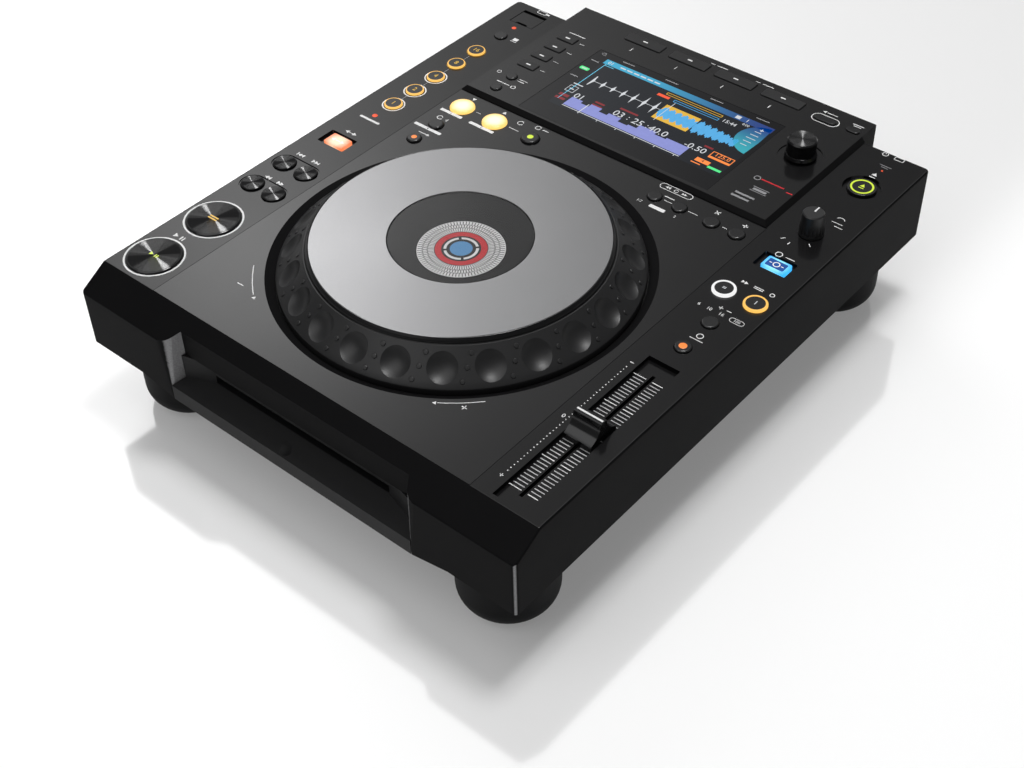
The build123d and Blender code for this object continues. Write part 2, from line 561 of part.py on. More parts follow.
# ---------------------------------------------------------------- display block
with BuildPart() as display_frame:
    with BuildSketch(Plane.XY.offset(DECK)):
        with Locations(((FRAME_LEFT + FRAME_RIGHT) / 2, (FRAME_FRONT + BACK) / 2)):
            Rectangle(FRAME_RIGHT - FRAME_LEFT, BACK - FRAME_FRONT)
    extrude(amount=FRAME_RISE)
    top_edges = display_frame.faces().sort_by(Axis.Z)[-1].edges()
    chamfer(top_edges.filter_by(Axis.Y), length=FRAME_BEVEL)
    front_edge = display_frame.faces().sort_by(Axis.Z)[-1].edges().filter_by(Axis.X)
    chamfer(front_edge.sort_by(Axis.Y)[0], length=FRAME_BEVEL)
    # behind the deck the block becomes a hood with upright sides
    with BuildSketch(Plane.XY.offset(HOOD_BOTTOM)):
        with Locations(((FRAME_LEFT + FRAME_RIGHT) / 2, (DECK_REAR + BACK) / 2 + 20)):
            Rectangle(FRAME_RIGHT - FRAME_LEFT + 10, BACK - DECK_REAR + 40)
    extrude(amount=40, mode=Mode.SUBTRACT)
    hood_middle = (FRAME_LEFT + FRAME_RIGHT) / 2
    hood_width = FRAME_RIGHT - FRAME_LEFT - 2 * FRAME_BEVEL
    with BuildSketch(Plane.XY.offset(HOOD_BOTTOM)):
        with Locations((hood_middle, (DECK_REAR + BACK) / 2)):
            Rectangle(hood_width, BACK - DECK_REAR)
    extrude(amount=FRAME_TOP - HOOD_BOTTOM)
    hood_edges = display_frame.edges().filter_by(Axis.X).group_by(Axis.Y)[-1]
    fillet(hood_edges.sort_by(Axis.Z)[-1], radius=0.9)
    fillet(hood_edges.sort_by(Axis.Z)[0], radius=5.0)
    # hollow hood, open towards the well
    with BuildSketch(Plane.XY.offset(HOOD_BOTTOM + HOOD_WALL)):
        with Locations((hood_middle, (DECK_REAR + BACK - HOOD_WALL) / 2)):
            Rectangle(hood_width - 2 * HOOD_SIDE, BACK - DECK_REAR - HOOD_WALL)
    extrude(amount=DECK - HOOD_BOTTOM - HOOD_WALL, mode=Mode.SUBTRACT)
    # window seat, then the aperture of the screen
    with BuildSketch(Plane.XY.offset(FRAME_TOP - WINDOW_THICKNESS)):
        with Locations(((WINDOW_LEFT + WINDOW_RIGHT) / 2, (WINDOW_FRONT + WINDOW_REAR) / 2)):
            Rectangle(WINDOW_RIGHT - WINDOW_LEFT, WINDOW_REAR - WINDOW_FRONT)
    extrude(amount=WINDOW_THICKNESS + 1, mode=Mode.SUBTRACT)
    with BuildSketch(Plane.XY.offset(DECK - 1)):
        with Locations((0, 121.0)):
            Rectangle(132, 66)
    extrude(amount=FRAME_RISE, mode=Mode.SUBTRACT)
    cut_button_holes(("frame",), DECK - 1, FRAME_TOP + 1)
    with BuildSketch(Plane((SELECTOR[0], SELECTOR[1], DECK - 1))):
        Circle(3.3)
    extrude(amount=FRAME_RISE + 2, mode=Mode.SUBTRACT)
    # shallow dish round the rotary selector
    with BuildSketch(Plane((SELECTOR[0], SELECTOR[1], FRAME_TOP - 0.6))):
        Circle(13.4)
    extrude(amount=2, mode=Mode.SUBTRACT)
    # posts that carry the display board
    with BuildSketch(Plane.XY.offset(80.6)):
        with Locations((-101, 90.5), (-101, 163), (72, 84), (99, 158)):
            Circle(POST_RADIUS)
    extrude(amount=DECK - 80.6)
display_frame.part.label = "display_frame"
export_step(display_frame.part, "parts/display_frame.step")

with BuildPart() as display_window:
    with BuildSketch(Plane.XY.offset(FRAME_TOP - WINDOW_THICKNESS)):
        with Locations(((WINDOW_LEFT + WINDOW_RIGHT) / 2, (WINDOW_FRONT + WINDOW_REAR) / 2)):
            Rectangle(WINDOW_RIGHT - WINDOW_LEFT - 0.2, WINDOW_REAR - WINDOW_FRONT - 0.2)
    extrude(amount=WINDOW_THICKNESS - 0.05)
    chamfer(display_window.faces().sort_by(Axis.Z)[-1].edges(), length=0.15)
display_window.part.label = "display_window"
export_step(display_window.part, "parts/display_window.step")

# ---------------------------------------------------------------- rear connector plate
PLATE_FRONT = DECK_REAR - WALL
PLATE_FACE = DECK_REAR - 0.4
RCA_X = (-10.0, 6.0, 26.0)
RCA_Z = 56.5
INLET_X, NETWORK_X, USB_B_X, CONTROL_X = -74.0, -38.0, 50.0, 70.0
SOCKET_DEPTH = 11.0
with BuildPart() as rear_panel:
    with BuildSketch(Plane.XZ.offset(-PLATE_FACE)):
        with Locations((0, (CONNECTOR_BOTTOM + CONNECTOR_TOP) / 2)):
            Rectangle(2 * CONNECTOR_HALF - 0.3, CONNECTOR_TOP - CONNECTOR_BOTTOM - 0.3)
    extrude(amount=PLATE_FACE - PLATE_FRONT)
    with BuildSketch(Plane.XZ.offset(-PLATE_FRONT)):
        with Locations((0, (CONNECTOR_BOTTOM + CONNECTOR_TOP) / 2 + 0.5)):
            Rectangle(2 * CONNECTOR_HALF + 8, CONNECTOR_TOP - CONNECTOR_BOTTOM + 0.8)
    extrude(amount=2)
    # shells of the sockets behind the plate
    with BuildSketch(Plane.XZ.offset(-PLATE_FRONT)):
        with Locations((INLET_X, RCA_Z)):
            Rectangle(25, 15)
        with Locations((NETWORK_X, RCA_Z)):
            Rectangle(16, 14)
        with Locations((USB_B_X, RCA_Z)):
            Rectangle(12.4, 11.4)
        with Locations((CONTROL_X, RCA_Z)):
            Rectangle(9, 9)
    extrude(amount=SOCKET_DEPTH + 2)
    # phono jacks stand out of the plate
    with BuildSketch(Plane.XZ.offset(-PLATE_FACE)):
        with Locations(*[(x, RCA_Z) for x in RCA_X]):
            Circle(5.4)
    extrude(amount=-1.2)
    with BuildSketch(Plane.XZ.offset(-PLATE_FACE)):
        with Locations(*[(x, RCA_Z) for x in RCA_X]):
            Circle(4.15)
    extrude(amount=-9.0)
    with BuildSketch(Plane.XZ.offset(-PLATE_FACE - 9.0)):
        with Locations(*[(x, RCA_Z) for x in RCA_X]):
            Circle(1.6)
    extrude(amount=9.0, mode=Mode.SUBTRACT)
    # mouths of the sockets
    with BuildSketch(Plane.XZ.offset(-PLATE_FACE)):
        with Locations((INLET_X, RCA_Z)):
            SlotOverall(20.0, 11.0)
        with Locations((NETWORK_X, RCA_Z)):
            Rectangle(11.8, 8.4)
        with Locations((USB_B_X, RCA_Z)):
            Rectangle(8.5, 7.8)
        with Locations((CONTROL_X, RCA_Z)):
            Circle(1.85)
    extrude(amount=SOCKET_DEPTH, mode=Mode.SUBTRACT)
    # pins of the mains inlet
    with BuildSketch(Plane.XZ.offset(-PLATE_FACE + SOCKET_DEPTH)):
        with Locations((INLET_X - 4.3, RCA_Z), (INLET_X + 4.3, RCA_Z)):
            Circle(1.2)
    extrude(amount=-(SOCKET_DEPTH - 1.5))
rear_panel.part.label = "rear_panel"
export_step(rear_panel.part, "parts/rear_panel.step")

with BuildPart() as power_button:
    with BuildSketch(Plane.XZ.offset(-DECK_REAR - 3.2)):
        with Locations((POWER_X, POWER_Z)):
            Circle(POWER_RADIUS)
    extrude(amount=WALL + 3.4)
    fillet(power_button.edges().group_by(Axis.Y)[-1], radius=0.8)
    with BuildSketch(Plane.XZ.offset(-DECK_REAR + WALL + 0.2)):
        with Locations((POWER_X, POWER_Z)):
            Circle(POWER_RADIUS + 1.2)
    extrude(amount=1.2)
    with BuildSketch(Plane.XZ.offset(-DECK_REAR + WALL + 1.4)):
        with Locations((POWER_X, POWER_Z)):
            Circle(2.5)
    extrude(amount=8)
power_button.part.label = "power_button"
export_step(power_button.part, "parts/power_button.step")

# ---------------------------------------------------------------- disc drive
CAVITY_HALF = 63.0
CAVITY_REAR = -33.0
WELL_RADIUS = 15.5
with BuildPart() as disc_drive:
    with BuildSketch(Plane.XY.offset(DRIVE_BOTTOM)):
        with Locations((0, (DRIVE_FRONT + DRIVE_REAR) / 2)):
            RectangleRounded(2 * DRIVE_HALF, DRIVE_REAR - DRIVE_FRONT, 3)
    extrude(amount=DRIVE_TOP - DRIVE_BOTTOM)
    # disc chamber, open at the front
    with BuildSketch(Plane.XY.offset(SLOT_FLOOR - 0.4)):
        with Locations((0, (DRIVE_FRONT - 1 + CAVITY_REAR) / 2)):
            Rectangle(2 * CAVITY_HALF, CAVITY_REAR - DRIVE_FRONT + 1)
    extrude(amount=SLOT_ROOF - SLOT_FLOOR + 0.8, mode=Mode.SUBTRACT)
    # well of the turntable and the bearing of its shaft
    with BuildSketch(Plane((0, SPINDLE_Y, SLOT_FLOOR - 5.2))):
        Circle(WELL_RADIUS)
    extrude(amount=6, mode=Mode.SUBTRACT)
    with BuildSketch(Plane((0, SPINDLE_Y, DRIVE_BOTTOM + 1.5))):
        Circle(1.55)
    extrude(amount=8, mode=Mode.SUBTRACT)
    # electronics bay behind the chamber
    with BuildSketch(Plane.XY.offset(DRIVE_BOTTOM - 1)):
        with Locations((0, -20.5)):
            Rectangle(2 * DRIVE_HALF - 20, 19)
    extrude(amount=DRIVE_TOP - DRIVE_BOTTOM - 1, mode=Mode.SUBTRACT)
disc_drive.part.label = "disc_drive"
export_step(disc_drive.part, "parts/disc_drive.step")

with BuildPart() as drive_spindle:
    with BuildSketch(Plane((0, SPINDLE_Y, DRIVE_BOTTOM + 2.0))):
        Circle(1.5)
    extrude(amount=5)
    with BuildSketch(Plane((0, SPINDLE_Y, 50.6))):
        Circle(14.0)
    extrude(amount=1.6)
    with BuildSketch(Plane((0, SPINDLE_Y, 52.2))):
        Circle(7.4)
    extrude(amount=2.2)
    chamfer(drive_spindle.edges().group_by(Axis.Z)[-1], length=0.8)
drive_spindle.part.label = "drive_spindle"
export_step(drive_spindle.part, "parts/drive_spindle.step")

# ---------------------------------------------------------------- jog wheel
PLINTH_BOTTOM, PLINTH_TOP = 80.0, 82.4
PLINTH_RADIUS = 110.0
with BuildPart() as jog_plinth:
    with BuildSketch(Plane((0, JOG_Y, PLINTH_BOTTOM))):
        Circle(PLINTH_RADIUS)
    extrude(amount=PLINTH_TOP - PLINTH_BOTTOM)
    with BuildSketch(Plane((0, JOG_Y, PLINTH_TOP))):
        Circle(PLINTH_RADIUS)
        Circle(PLINTH_RADIUS - 5, mode=Mode.SUBTRACT)
    extrude(amount=DECK_UNDERSIDE - PLINTH_TOP)
    with BuildSketch(Plane((0, JOG_Y, PLINTH_TOP))):
        Circle(JOG_POST_RADIUS)
    extrude(amount=LABEL_TOP - 2.2 - PLINTH_TOP)
    with BuildSketch(Plane((0, JOG_Y, LABEL_TOP - 2.2))):
        Circle(JOG_EYE_RADIUS - 0.8)
    extrude(amount=2.2)
    with BuildSketch(Plane((0, JOG_Y, PLINTH_BOTTOM - 1))):
        Circle(JOG_POST_RADIUS - 3)
    extrude(amount=LABEL_TOP - PLINTH_BOTTOM - 3, mode=Mode.SUBTRACT)
jog_plinth.part.label = "jog_plinth"
export_step(jog_plinth.part, "parts/jog_plinth.step")

RIM_RADIUS = 82.3
PLATE_SEAT = JOG_TOP - 1.0
WEB_BOTTOM, WEB_TOP = 92.2, 94.6
HUB_OUTER = 26.0
HUB_INNER = JOG_POST_RADIUS + 0.06
CONE_WALL = 4.2
SKIRT_BOTTOM = 85.0
cone_run = CONE_OUTER[0] - CONE_INNER[0]
cone_drop = CONE_INNER[1] - CONE_OUTER[1]
cone_length = (cone_run**2 + cone_drop**2) ** 0.5
cone_normal = (cone_drop / cone_length, cone_run / cone_length)      # outwards and up
cone_back = (CONE_WALL * cone_normal[0], CONE_WALL * cone_normal[1])
JOG_SECTION = [
    (HUB_INNER, SKIRT_BOTTOM), (HUB_OUTER, SKIRT_BOTTOM), (HUB_OUTER, WEB_BOTTOM),
    (43.0, WEB_BOTTOM), (43.0, PLATE_SEAT - 2.6), (78.0, PLATE_SEAT - 2.6),
    (CONE_INNER[0] - cone_back[0], CONE_INNER[1] - cone_back[1]),
    (CONE_OUTER[0] - cone_back[0], CONE_OUTER[1] - cone_back[1]),
    (CONE_OUTER[0] - cone_back[0], SKIRT_BOTTOM),
    (JOG_SKIRT, SKIRT_BOTTOM), (JOG_SKIRT, CONE_OUTER[1] - 0.7), CONE_OUTER,
    CONE_INNER, (RIM_RADIUS + 0.1, CONE_INNER[1] - 0.2), (RIM_RADIUS, JOG_TOP - 1.5),
    (RIM_RADIUS - 0.4, JOG_TOP - 0.9), (JOG_DISC_RADIUS + 0.3, JOG_TOP - 0.1),
    (JOG_DISC_RADIUS + 0.1, PLATE_SEAT), (JOG_EYE_RADIUS, PLATE_SEAT),
    (JOG_EYE_RADIUS, WEB_TOP), (HUB_INNER, WEB_TOP),
]
sphere_radius = (DIMPLE_RADIUS**2 + DIMPLE_DEPTH**2) / (2 * DIMPLE_DEPTH)
dimple_height = CONE_INNER[1] - cone_drop * (DIMPLE_RING - CONE_INNER[0]) / cone_run
ball_radius = DIMPLE_RING + cone_normal[0] * (sphere_radius - DIMPLE_DEPTH)
ball_height = dimple_height + cone_normal[1] * (sphere_radius - DIMPLE_DEPTH)
DIMPLE_TURN = 5.6             # degrees, where the first dimple stands
with BuildPart() as jog_wheel:
    with BuildSketch(Plane(origin=(0, JOG_Y, 0), x_dir=(1, 0, 0), z_dir=(0, -1, 0))):
        with BuildLine():
            Polyline(*JOG_SECTION, close=True)
        make_face()
    revolve(axis=Axis((0, JOG_Y, 0), (0, 0, 1)))
    with Locations(Plane((0, JOG_Y, ball_height))):
        with PolarLocations(ball_radius, DIMPLES, start_angle=DIMPLE_TURN):
            Sphere(sphere_radius, mode=Mode.SUBTRACT)
    # aluminium disc, let into the top of the wheel
    with BuildSketch(Plane((0, JOG_Y, PLATE_SEAT))):
        Circle(JOG_DISC_RADIUS)
        Circle(JOG_EYE_RADIUS, mode=Mode.SUBTRACT)
    disc_plate = extrude(amount=JOG_TOP - PLATE_SEAT, mode=Mode.PRIVATE)
jog_parts = Compound(children=[jog_wheel.part.solid(), disc_plate.solid()])
jog_parts.label = "jog_wheel"
export_step(jog_parts, "parts/jog_wheel.step")

# ---------------------------------------------------------------- rotary controls
KNOB_RADIUS = 8.6
KNOB_FOOT_RADIUS, KNOB_FOOT = 9.5, 1.8      # collar at the knob's foot
KNOB_BOTTOM, KNOB_TOP = FRAME_TOP + 1.3, 103.3
with BuildPart() as selector_shaft:
    with BuildSketch(Plane((SELECTOR[0], SELECTOR[1], 83.0))):
        Circle(3.0)
    extrude(amount=17.0)
    with BuildSketch(Plane((SELECTOR[0], SELECTOR[1], 86.0))):
        Circle(5.0)
    extrude(amount=2.0)
selector_shaft.part.label = "selector_shaft"
export_step(selector_shaft.part, "parts/selector_shaft.step")

with BuildPart() as selector_knob:
    with BuildSketch(Plane((SELECTOR[0], SELECTOR[1], KNOB_BOTTOM))):
        Circle(KNOB_RADIUS)
    extrude(amount=KNOB_TOP - KNOB_BOTTOM)
    chamfer(selector_knob.edges().group_by(Axis.Z)[-1], length=0.8)
    # flutes round the side
    with BuildSketch(Plane((SELECTOR[0], SELECTOR[1], KNOB_BOTTOM))):
        with PolarLocations(KNOB_RADIUS + 0.35, 26):
            Circle(0.75)
    extrude(amount=KNOB_TOP - KNOB_BOTTOM - 1.4, mode=Mode.SUBTRACT)
    with BuildSketch(Plane((SELECTOR[0], SELECTOR[1], KNOB_BOTTOM))):
        Circle(KNOB_FOOT_RADIUS)
    extrude(amount=KNOB_FOOT, taper=15)
    with BuildSketch(Plane((SELECTOR[0], SELECTOR[1], KNOB_BOTTOM - 1))):
        Circle(3.05)
    extrude(amount=100.1 - KNOB_BOTTOM + 1, mode=Mode.SUBTRACT)
selector_knob.part.label = "selector_knob"
export_step(selector_knob.part, "parts/selector_knob.step")

SPEED_RADIUS, SPEED_TOP = 6.4, 102.6
with BuildPart() as vinyl_speed_knob:
    with BuildSketch(Plane((SPEED_KNOB[0], SPEED_KNOB[1], DECK + 0.5))):
        Circle(SPEED_RADIUS + 0.7)
    with BuildSketch(Plane((SPEED_KNOB[0], SPEED_KNOB[1], SPEED_TOP))):
        Circle(SPEED_RADIUS - 0.4)
    loft()
    chamfer(vinyl_speed_knob.edges().group_by(Axis.Z)[-1], length=0.6)
    with BuildSketch(Plane((SPEED_KNOB[0], SPEED_KNOB[1], DECK + 2.0))):
        with PolarLocations(SPEED_RADIUS + 0.7, 20):
            Circle(0.7)
    extrude(amount=SPEED_TOP - DECK - 4.0, mode=Mode.SUBTRACT)
    with BuildSketch(Plane((SPEED_KNOB[0], SPEED_KNOB[1], BOARD_TOP + 0.3))):
        Circle(3.0)
    extrude(amount=DECK + 1.0 - BOARD_TOP)
    # pointer groove across the top
    with BuildSketch(Plane((SPEED_KNOB[0], SPEED_KNOB[1] + 3.4, SPEED_TOP - 0.4))):
        Rectangle(1.0, 5.0)
    extrude(amount=1, mode=Mode.SUBTRACT)
vinyl_speed_knob.part.label = "vinyl_speed_knob"
export_step(vinyl_speed_knob.part, "parts/vinyl_speed_knob.step")

# ---------------------------------------------------------------- tempo fader
cap_width, cap_length, cap_rise = FADER_CAP
cap_bottom = DECK - FADER_RECESS[2] + 0.5
cap_top = DECK + cap_rise
with BuildPart() as tempo_fader:
    with BuildSketch(Plane.YZ.offset(STRIP_RIGHT_X)):
        with BuildLine():
            Polyline((FADER_Y - cap_length / 2, cap_bottom + 3.2),
                     (FADER_Y - cap_length / 2, cap_bottom),
                     (FADER_Y + cap_length / 2, cap_bottom),
                     (FADER_Y + cap_length / 2, cap_bottom + 3.2))
            ThreePointArc((FADER_Y + cap_length / 2, cap_bottom + 3.2),
                          (FADER_Y + 4.6, cap_bottom + 6.6), (FADER_Y + 2.2, cap_top))
            Line((FADER_Y + 2.2, cap_top), (FADER_Y - 2.2, cap_top))
            ThreePointArc((FADER_Y - 2.2, cap_top), (FADER_Y - 4.6, cap_bottom + 6.6),
                          (FADER_Y - cap_length / 2, cap_bottom + 3.2))
        make_face()
    extrude(amount=cap_width / 2, both=True)
    fillet(tempo_fader.edges().filter_by(Axis.X).group_by(Axis.Z)[-1], radius=0.7)
    with BuildSketch(Plane((STRIP_RIGHT_X, FADER_Y, 76.0))):
        Rectangle(1.2, 2.4)
    extrude(amount=cap_bottom + 1 - 76.0)
tempo_fader.part.label = "tempo_fader"
export_step(tempo_fader.part, "parts/tempo_fader.step")

# ---------------------------------------------------------------- USB cover
HINGE_Y, HINGE_Z = USB[1] + 6.4, DECK - 1.8
with BuildPart() as usb_cover:
    with BuildSketch(Plane.XY.offset(DECK - 2.0)):
        with Locations((USB[0], USB[1] - 0.3)):
            Rectangle(18.0, 13.4)
        with Locations((USB[0], USB[1] - 7.0)):
            SlotOverall(9.0, 3.4, mode=Mode.SUBTRACT)
    extrude(amount=1.9)
    chamfer(usb_cover.faces().sort_by(Axis.Z)[-1].edges(), length=0.25)
    with BuildSketch(Plane(origin=(USB[0], HINGE_Y, HINGE_Z), z_dir=(1, 0, 0))):
        Circle(1.5)
    extrude(amount=9.0, both=True)
    with BuildSketch(Plane(origin=(USB[0], HINGE_Y, HINGE_Z), z_dir=(1, 0, 0))):
        Circle(0.8)
    extrude(amount=10.4, both=True)
usb_cover.part.label = "usb_cover"
export_step(usb_cover.part, "parts/usb_cover.step")

# ---------------------------------------------------------------- boards inside
KEY_BOARD = BOARD_TOP - BOARD_THICKNESS
SWITCH_RADIUS = 2.6


def add_switches(plates, board_top):
    """The push switch under every button of these plates, just clear of the pressed stem."""
    for button in BUTTONS:
        if button.plate in plates:
            with BuildSketch(Plane((button.x, button.y, board_top))) as switch:
                Circle(SWITCH_RADIUS)
            extrude(switch.sketch, amount=STEM_ABOVE_BOARD - button.travel - 0.1)


def board_rectangle(left, right, front, rear):
    """A rectangle of the current sketch, given by its sides."""
    with Locations(((left + right) / 2, (front + rear) / 2)):
        Rectangle(right - left, rear - front)


with BuildPart() as key_boards:
    with BuildSketch(Plane.XY.offset(KEY_BOARD)):
        board_rectangle(-148.5, -117.5, -172.0, 145.0)
        board_rectangle(-110.0, -36.0, 4.0, 68.0)
        board_rectangle(36.0, 110.0, 46.0, 68.0)
        board_rectangle(114.5, 148.5, -48.0, 148.0)
        with Locations((0, JOG_Y)):
            Circle(PLINTH_RADIUS + 1, mode=Mode.SUBTRACT)
        with Locations(*SCREW_PLACES):
            Circle(BOSS_RADIUS + 0.8, mode=Mode.SUBTRACT)
    extrude(amount=BOARD_THICKNESS)
    add_switches(("deck", "panel"), BOARD_TOP)

with BuildPart() as display_board:
    with BuildSketch(Plane.XY.offset(DISPLAY_BOARD_TOP - BOARD_THICKNESS)):
        board_rectangle(-104.0, 104.0, 80.5, 187.5)
    extrude(amount=BOARD_THICKNESS)
    add_switches(("frame",), DISPLAY_BOARD_TOP)
    # the screen module and the rotary selector's encoder
    with BuildSketch(Plane.XY.offset(DISPLAY_BOARD_TOP)):
        board_rectangle(-64.0, 65.0, 89.0, 153.0)
    extrude(amount=7.6)
    with BuildSketch(Plane((SELECTOR[0], SELECTOR[1], DISPLAY_BOARD_TOP))):
        Circle(6.0)
    extrude(amount=1.6)

with BuildPart() as main_board:
    with BuildSketch(Plane.XY.offset(LOW_BOARD)):
        board_rectangle(*MAIN_BOARD)
    extrude(amount=BOARD_THICKNESS)
    with BuildSketch(Plane.XY.offset(LOW_BOARD + BOARD_THICKNESS)):
        with Locations((-50, 60), (-10, 95)):
            Rectangle(22, 22)
        with Locations((-52, 105), (-20, 50)):
            Rectangle(12, 16)
        with Locations((-66, 140), (0, 140)):
            Rectangle(20, 6)
    extrude(amount=2.0)

with BuildPart() as power_board:
    with BuildSketch(Plane.XY.offset(LOW_BOARD)):
        board_rectangle(*POWER_BOARD)
    extrude(amount=BOARD_THICKNESS)
    with BuildSketch(Plane.XY.offset(LOW_BOARD + BOARD_THICKNESS)):
        with Locations((56, 70)):
            Rectangle(32, 28)
        with Locations((74, 110)):
            Rectangle(4, 44)
    extrude(amount=22)
    with BuildSketch(Plane.XY.offset(LOW_BOARD + BOARD_THICKNESS)):
        with Locations((44, 112), (44, 130), (60, 36)):
            Circle(7)
    extrude(amount=20)

with BuildPart() as fader_body:
    with BuildSketch(Plane.XY.offset(70.0)):
        with Locations((STRIP_RIGHT_X, FADER_Y)):
            Rectangle(9.6, 116)
    extrude(amount=DECK_UNDERSIDE - 70.0)
    with BuildSketch(Plane.XY.offset(74.0)):
        with Locations((STRIP_RIGHT_X, FADER_Y)):
            Rectangle(2.4, FADER_TRAVEL + 6)
    extrude(amount=20, mode=Mode.SUBTRACT)

# USB socket: bottom, four walls round the mouth, and the flange under the deck
USB_MOUTH = (12.6, 5.3)
USB_SHELL = (15.0, 8.0)
USB_FLANGE = (23.0, 20.6)
USB_BOTTOM, USB_FLOOR = 70.0, 72.0
SOCKET_CENTRE = (USB[0], USB[1] - 0.2)


def socket_plate(offset, size, low, high):
    """One plate of the USB socket, placed by its offset from the middle of the mouth."""
    with BuildPart() as plate:
        with BuildSketch(Plane((SOCKET_CENTRE[0] + offset[0], SOCKET_CENTRE[1] + offset[1], low))):
            Rectangle(*size)
        extrude(amount=high - low)
    return plate.part.solid()


def plates_round_mouth(outer, low, high):
    """The four plates of a rectangular frame between the mouth and the outer size."""
    end_width = (outer[0] - USB_MOUTH[0]) / 2
    side_width = (outer[1] - USB_MOUTH[1]) / 2
    plates = []
    for side in (-1, 1):
        end_place = (side * (USB_MOUTH[0] + end_width) / 2, 0)
        side_place = (0, side * (USB_MOUTH[1] + side_width) / 2)
        plates.append(socket_plate(end_place, (end_width, outer[1]), low, high))
        plates.append(socket_plate(side_place, (USB_MOUTH[0], side_width), low, high))
    return plates


flange_low = DECK_UNDERSIDE - 1.4
usb_socket = [socket_plate((0, 0), USB_SHELL, USB_BOTTOM, USB_FLOOR)]
usb_socket += plates_round_mouth(USB_SHELL, USB_FLOOR, flange_low)
usb_socket += plates_round_mouth(USB_FLANGE, flange_low, DECK_UNDERSIDE)

board_solids = []
for board in (key_boards, display_board, main_board, power_board, fader_body):
    board_solids += board.part.solids()
board_solids += usb_socket
control_boards = Compound(children=board_solids)
control_boards.label = "control_boards"
export_step(control_boards, "parts/control_boards.step")
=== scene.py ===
import math

import bmesh
import bpy
from mathutils import Matrix, Vector


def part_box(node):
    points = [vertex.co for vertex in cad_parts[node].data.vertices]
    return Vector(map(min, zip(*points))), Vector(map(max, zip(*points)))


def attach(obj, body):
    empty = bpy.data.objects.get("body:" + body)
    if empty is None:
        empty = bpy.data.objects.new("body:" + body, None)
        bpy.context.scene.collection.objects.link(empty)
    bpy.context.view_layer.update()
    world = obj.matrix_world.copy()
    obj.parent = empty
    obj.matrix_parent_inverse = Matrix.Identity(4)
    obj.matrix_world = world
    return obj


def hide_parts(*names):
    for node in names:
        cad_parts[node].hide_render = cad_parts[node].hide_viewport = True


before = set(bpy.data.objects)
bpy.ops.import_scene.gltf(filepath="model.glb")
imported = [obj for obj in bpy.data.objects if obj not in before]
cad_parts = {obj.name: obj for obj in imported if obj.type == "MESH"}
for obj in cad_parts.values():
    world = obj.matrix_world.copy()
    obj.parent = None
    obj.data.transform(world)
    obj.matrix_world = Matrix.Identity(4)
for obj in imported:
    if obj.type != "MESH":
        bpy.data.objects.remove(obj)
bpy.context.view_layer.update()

# Looks of the tabletop disc player. Lengths below are millimetres in the frame of the CAD model,
# and the helpers turn them into metres.
MM = 0.001
PRINT = 0.05                  # thickness of a printed mark
SUNK = 0.02                   # how far a mark reaches into the surface that it is printed on
PIXEL = 0.03                  # thickness of what the screen shows
DIGIT_HEIGHT = 0.72           # height of a digit in a font of size 1


def low(node):
    """Lowest corner of a CAD node, in millimetres."""
    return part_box(node)[0] / MM


def high(node):
    """Highest corner of a CAD node, in millimetres."""
    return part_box(node)[1] / MM


def middle(node):
    """Middle of a CAD node's box, in millimetres."""
    return (low(node) + high(node)) / 2


def cap(node):
    """Middle, height and half width of the flat top of a button, in millimetres."""
    points = [vertex.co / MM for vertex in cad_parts[node].data.vertices]
    top = max(point.z for point in points)
    rim = [point for point in points if point.z > top - 0.02]
    left, right = min(p.x for p in rim), max(p.x for p in rim)
    front, back = min(p.y for p in rim), max(p.y for p in rim)
    return (left + right) / 2, (front + back) / 2, top, (right - left) / 2


DECK = high("centre_panel").z
BLOCK_TOP = high("display_frame").z
GLASS = high("display_window").z
JOG_X, JOG_Y = middle("jog_wheel").x, middle("jog_wheel").y
JOG_TOP = high("jog_wheel").z
FADER_TRAY = DECK - 2.7
LABEL_TABLE = high("jog_plinth").z
FADER_X = middle("tempo_fader").x
LEFT_STRIP = cap("beat_button_1")[0]


# ---------------------------------------------------------------- camera
CAMERA_PLACE = (0.45335, -0.53429, 0.62087)
CAMERA_RIGHT = (0.76436782, 0.64448457, -0.01953129)
CAMERA_UP = (-0.43170759, 0.53404117, 0.72693094)
CAMERA_BACK = (0.47892629, -0.54721082, 0.68643276)
LENS = 55.56


def place_camera():
    turn = Matrix((CAMERA_RIGHT, CAMERA_UP, CAMERA_BACK)).transposed()
    bpy.ops.object.camera_add()
    camera = bpy.context.object
    camera.matrix_world = Matrix.Translation(CAMERA_PLACE) @ turn.to_4x4()
    camera.data.lens = LENS
    camera.data.sensor_width = 36
    camera.data.clip_start, camera.data.clip_end = 0.01, 50
    bpy.context.scene.camera = camera


# ---------------------------------------------------------------- shader maths
class Wire:
    """A value in a shader tree. Its arithmetic adds the tree's Math nodes."""

    def __init__(self, home, socket):
        self.home, self.socket = home, socket

    def math(self, operation, *values):
        return self.home.node("ShaderNodeMath", {"operation": operation}, dict(enumerate(values)))

    def __add__(self, other):
        return self.math("ADD", self, other)

    def __sub__(self, other):
        return self.math("SUBTRACT", self, other)

    def __rsub__(self, other):
        return self.math("SUBTRACT", other, self)

    def __mul__(self, other):
        return self.math("MULTIPLY", self, other)

    def __truediv__(self, other):
        return self.math("DIVIDE", self, other)

    def __pow__(self, other):
        return self.math("POWER", self, other)

    __radd__, __rmul__ = __add__, __mul__

    def sine(self):
        return self.math("SINE", self)

    def size(self):
        return self.math("ABSOLUTE", self)

    def or_more(self, other):
        return self.math("MAXIMUM", self, other)

    def step(self, start, end):
        """0 below start, 1 above end, and smooth between them."""
        settings = {"interpolation_type": "SMOOTHSTEP"}
        return self.home.node("ShaderNodeMapRange", settings, {0: self, 1: start, 2: end, 3: 0, 4: 1})


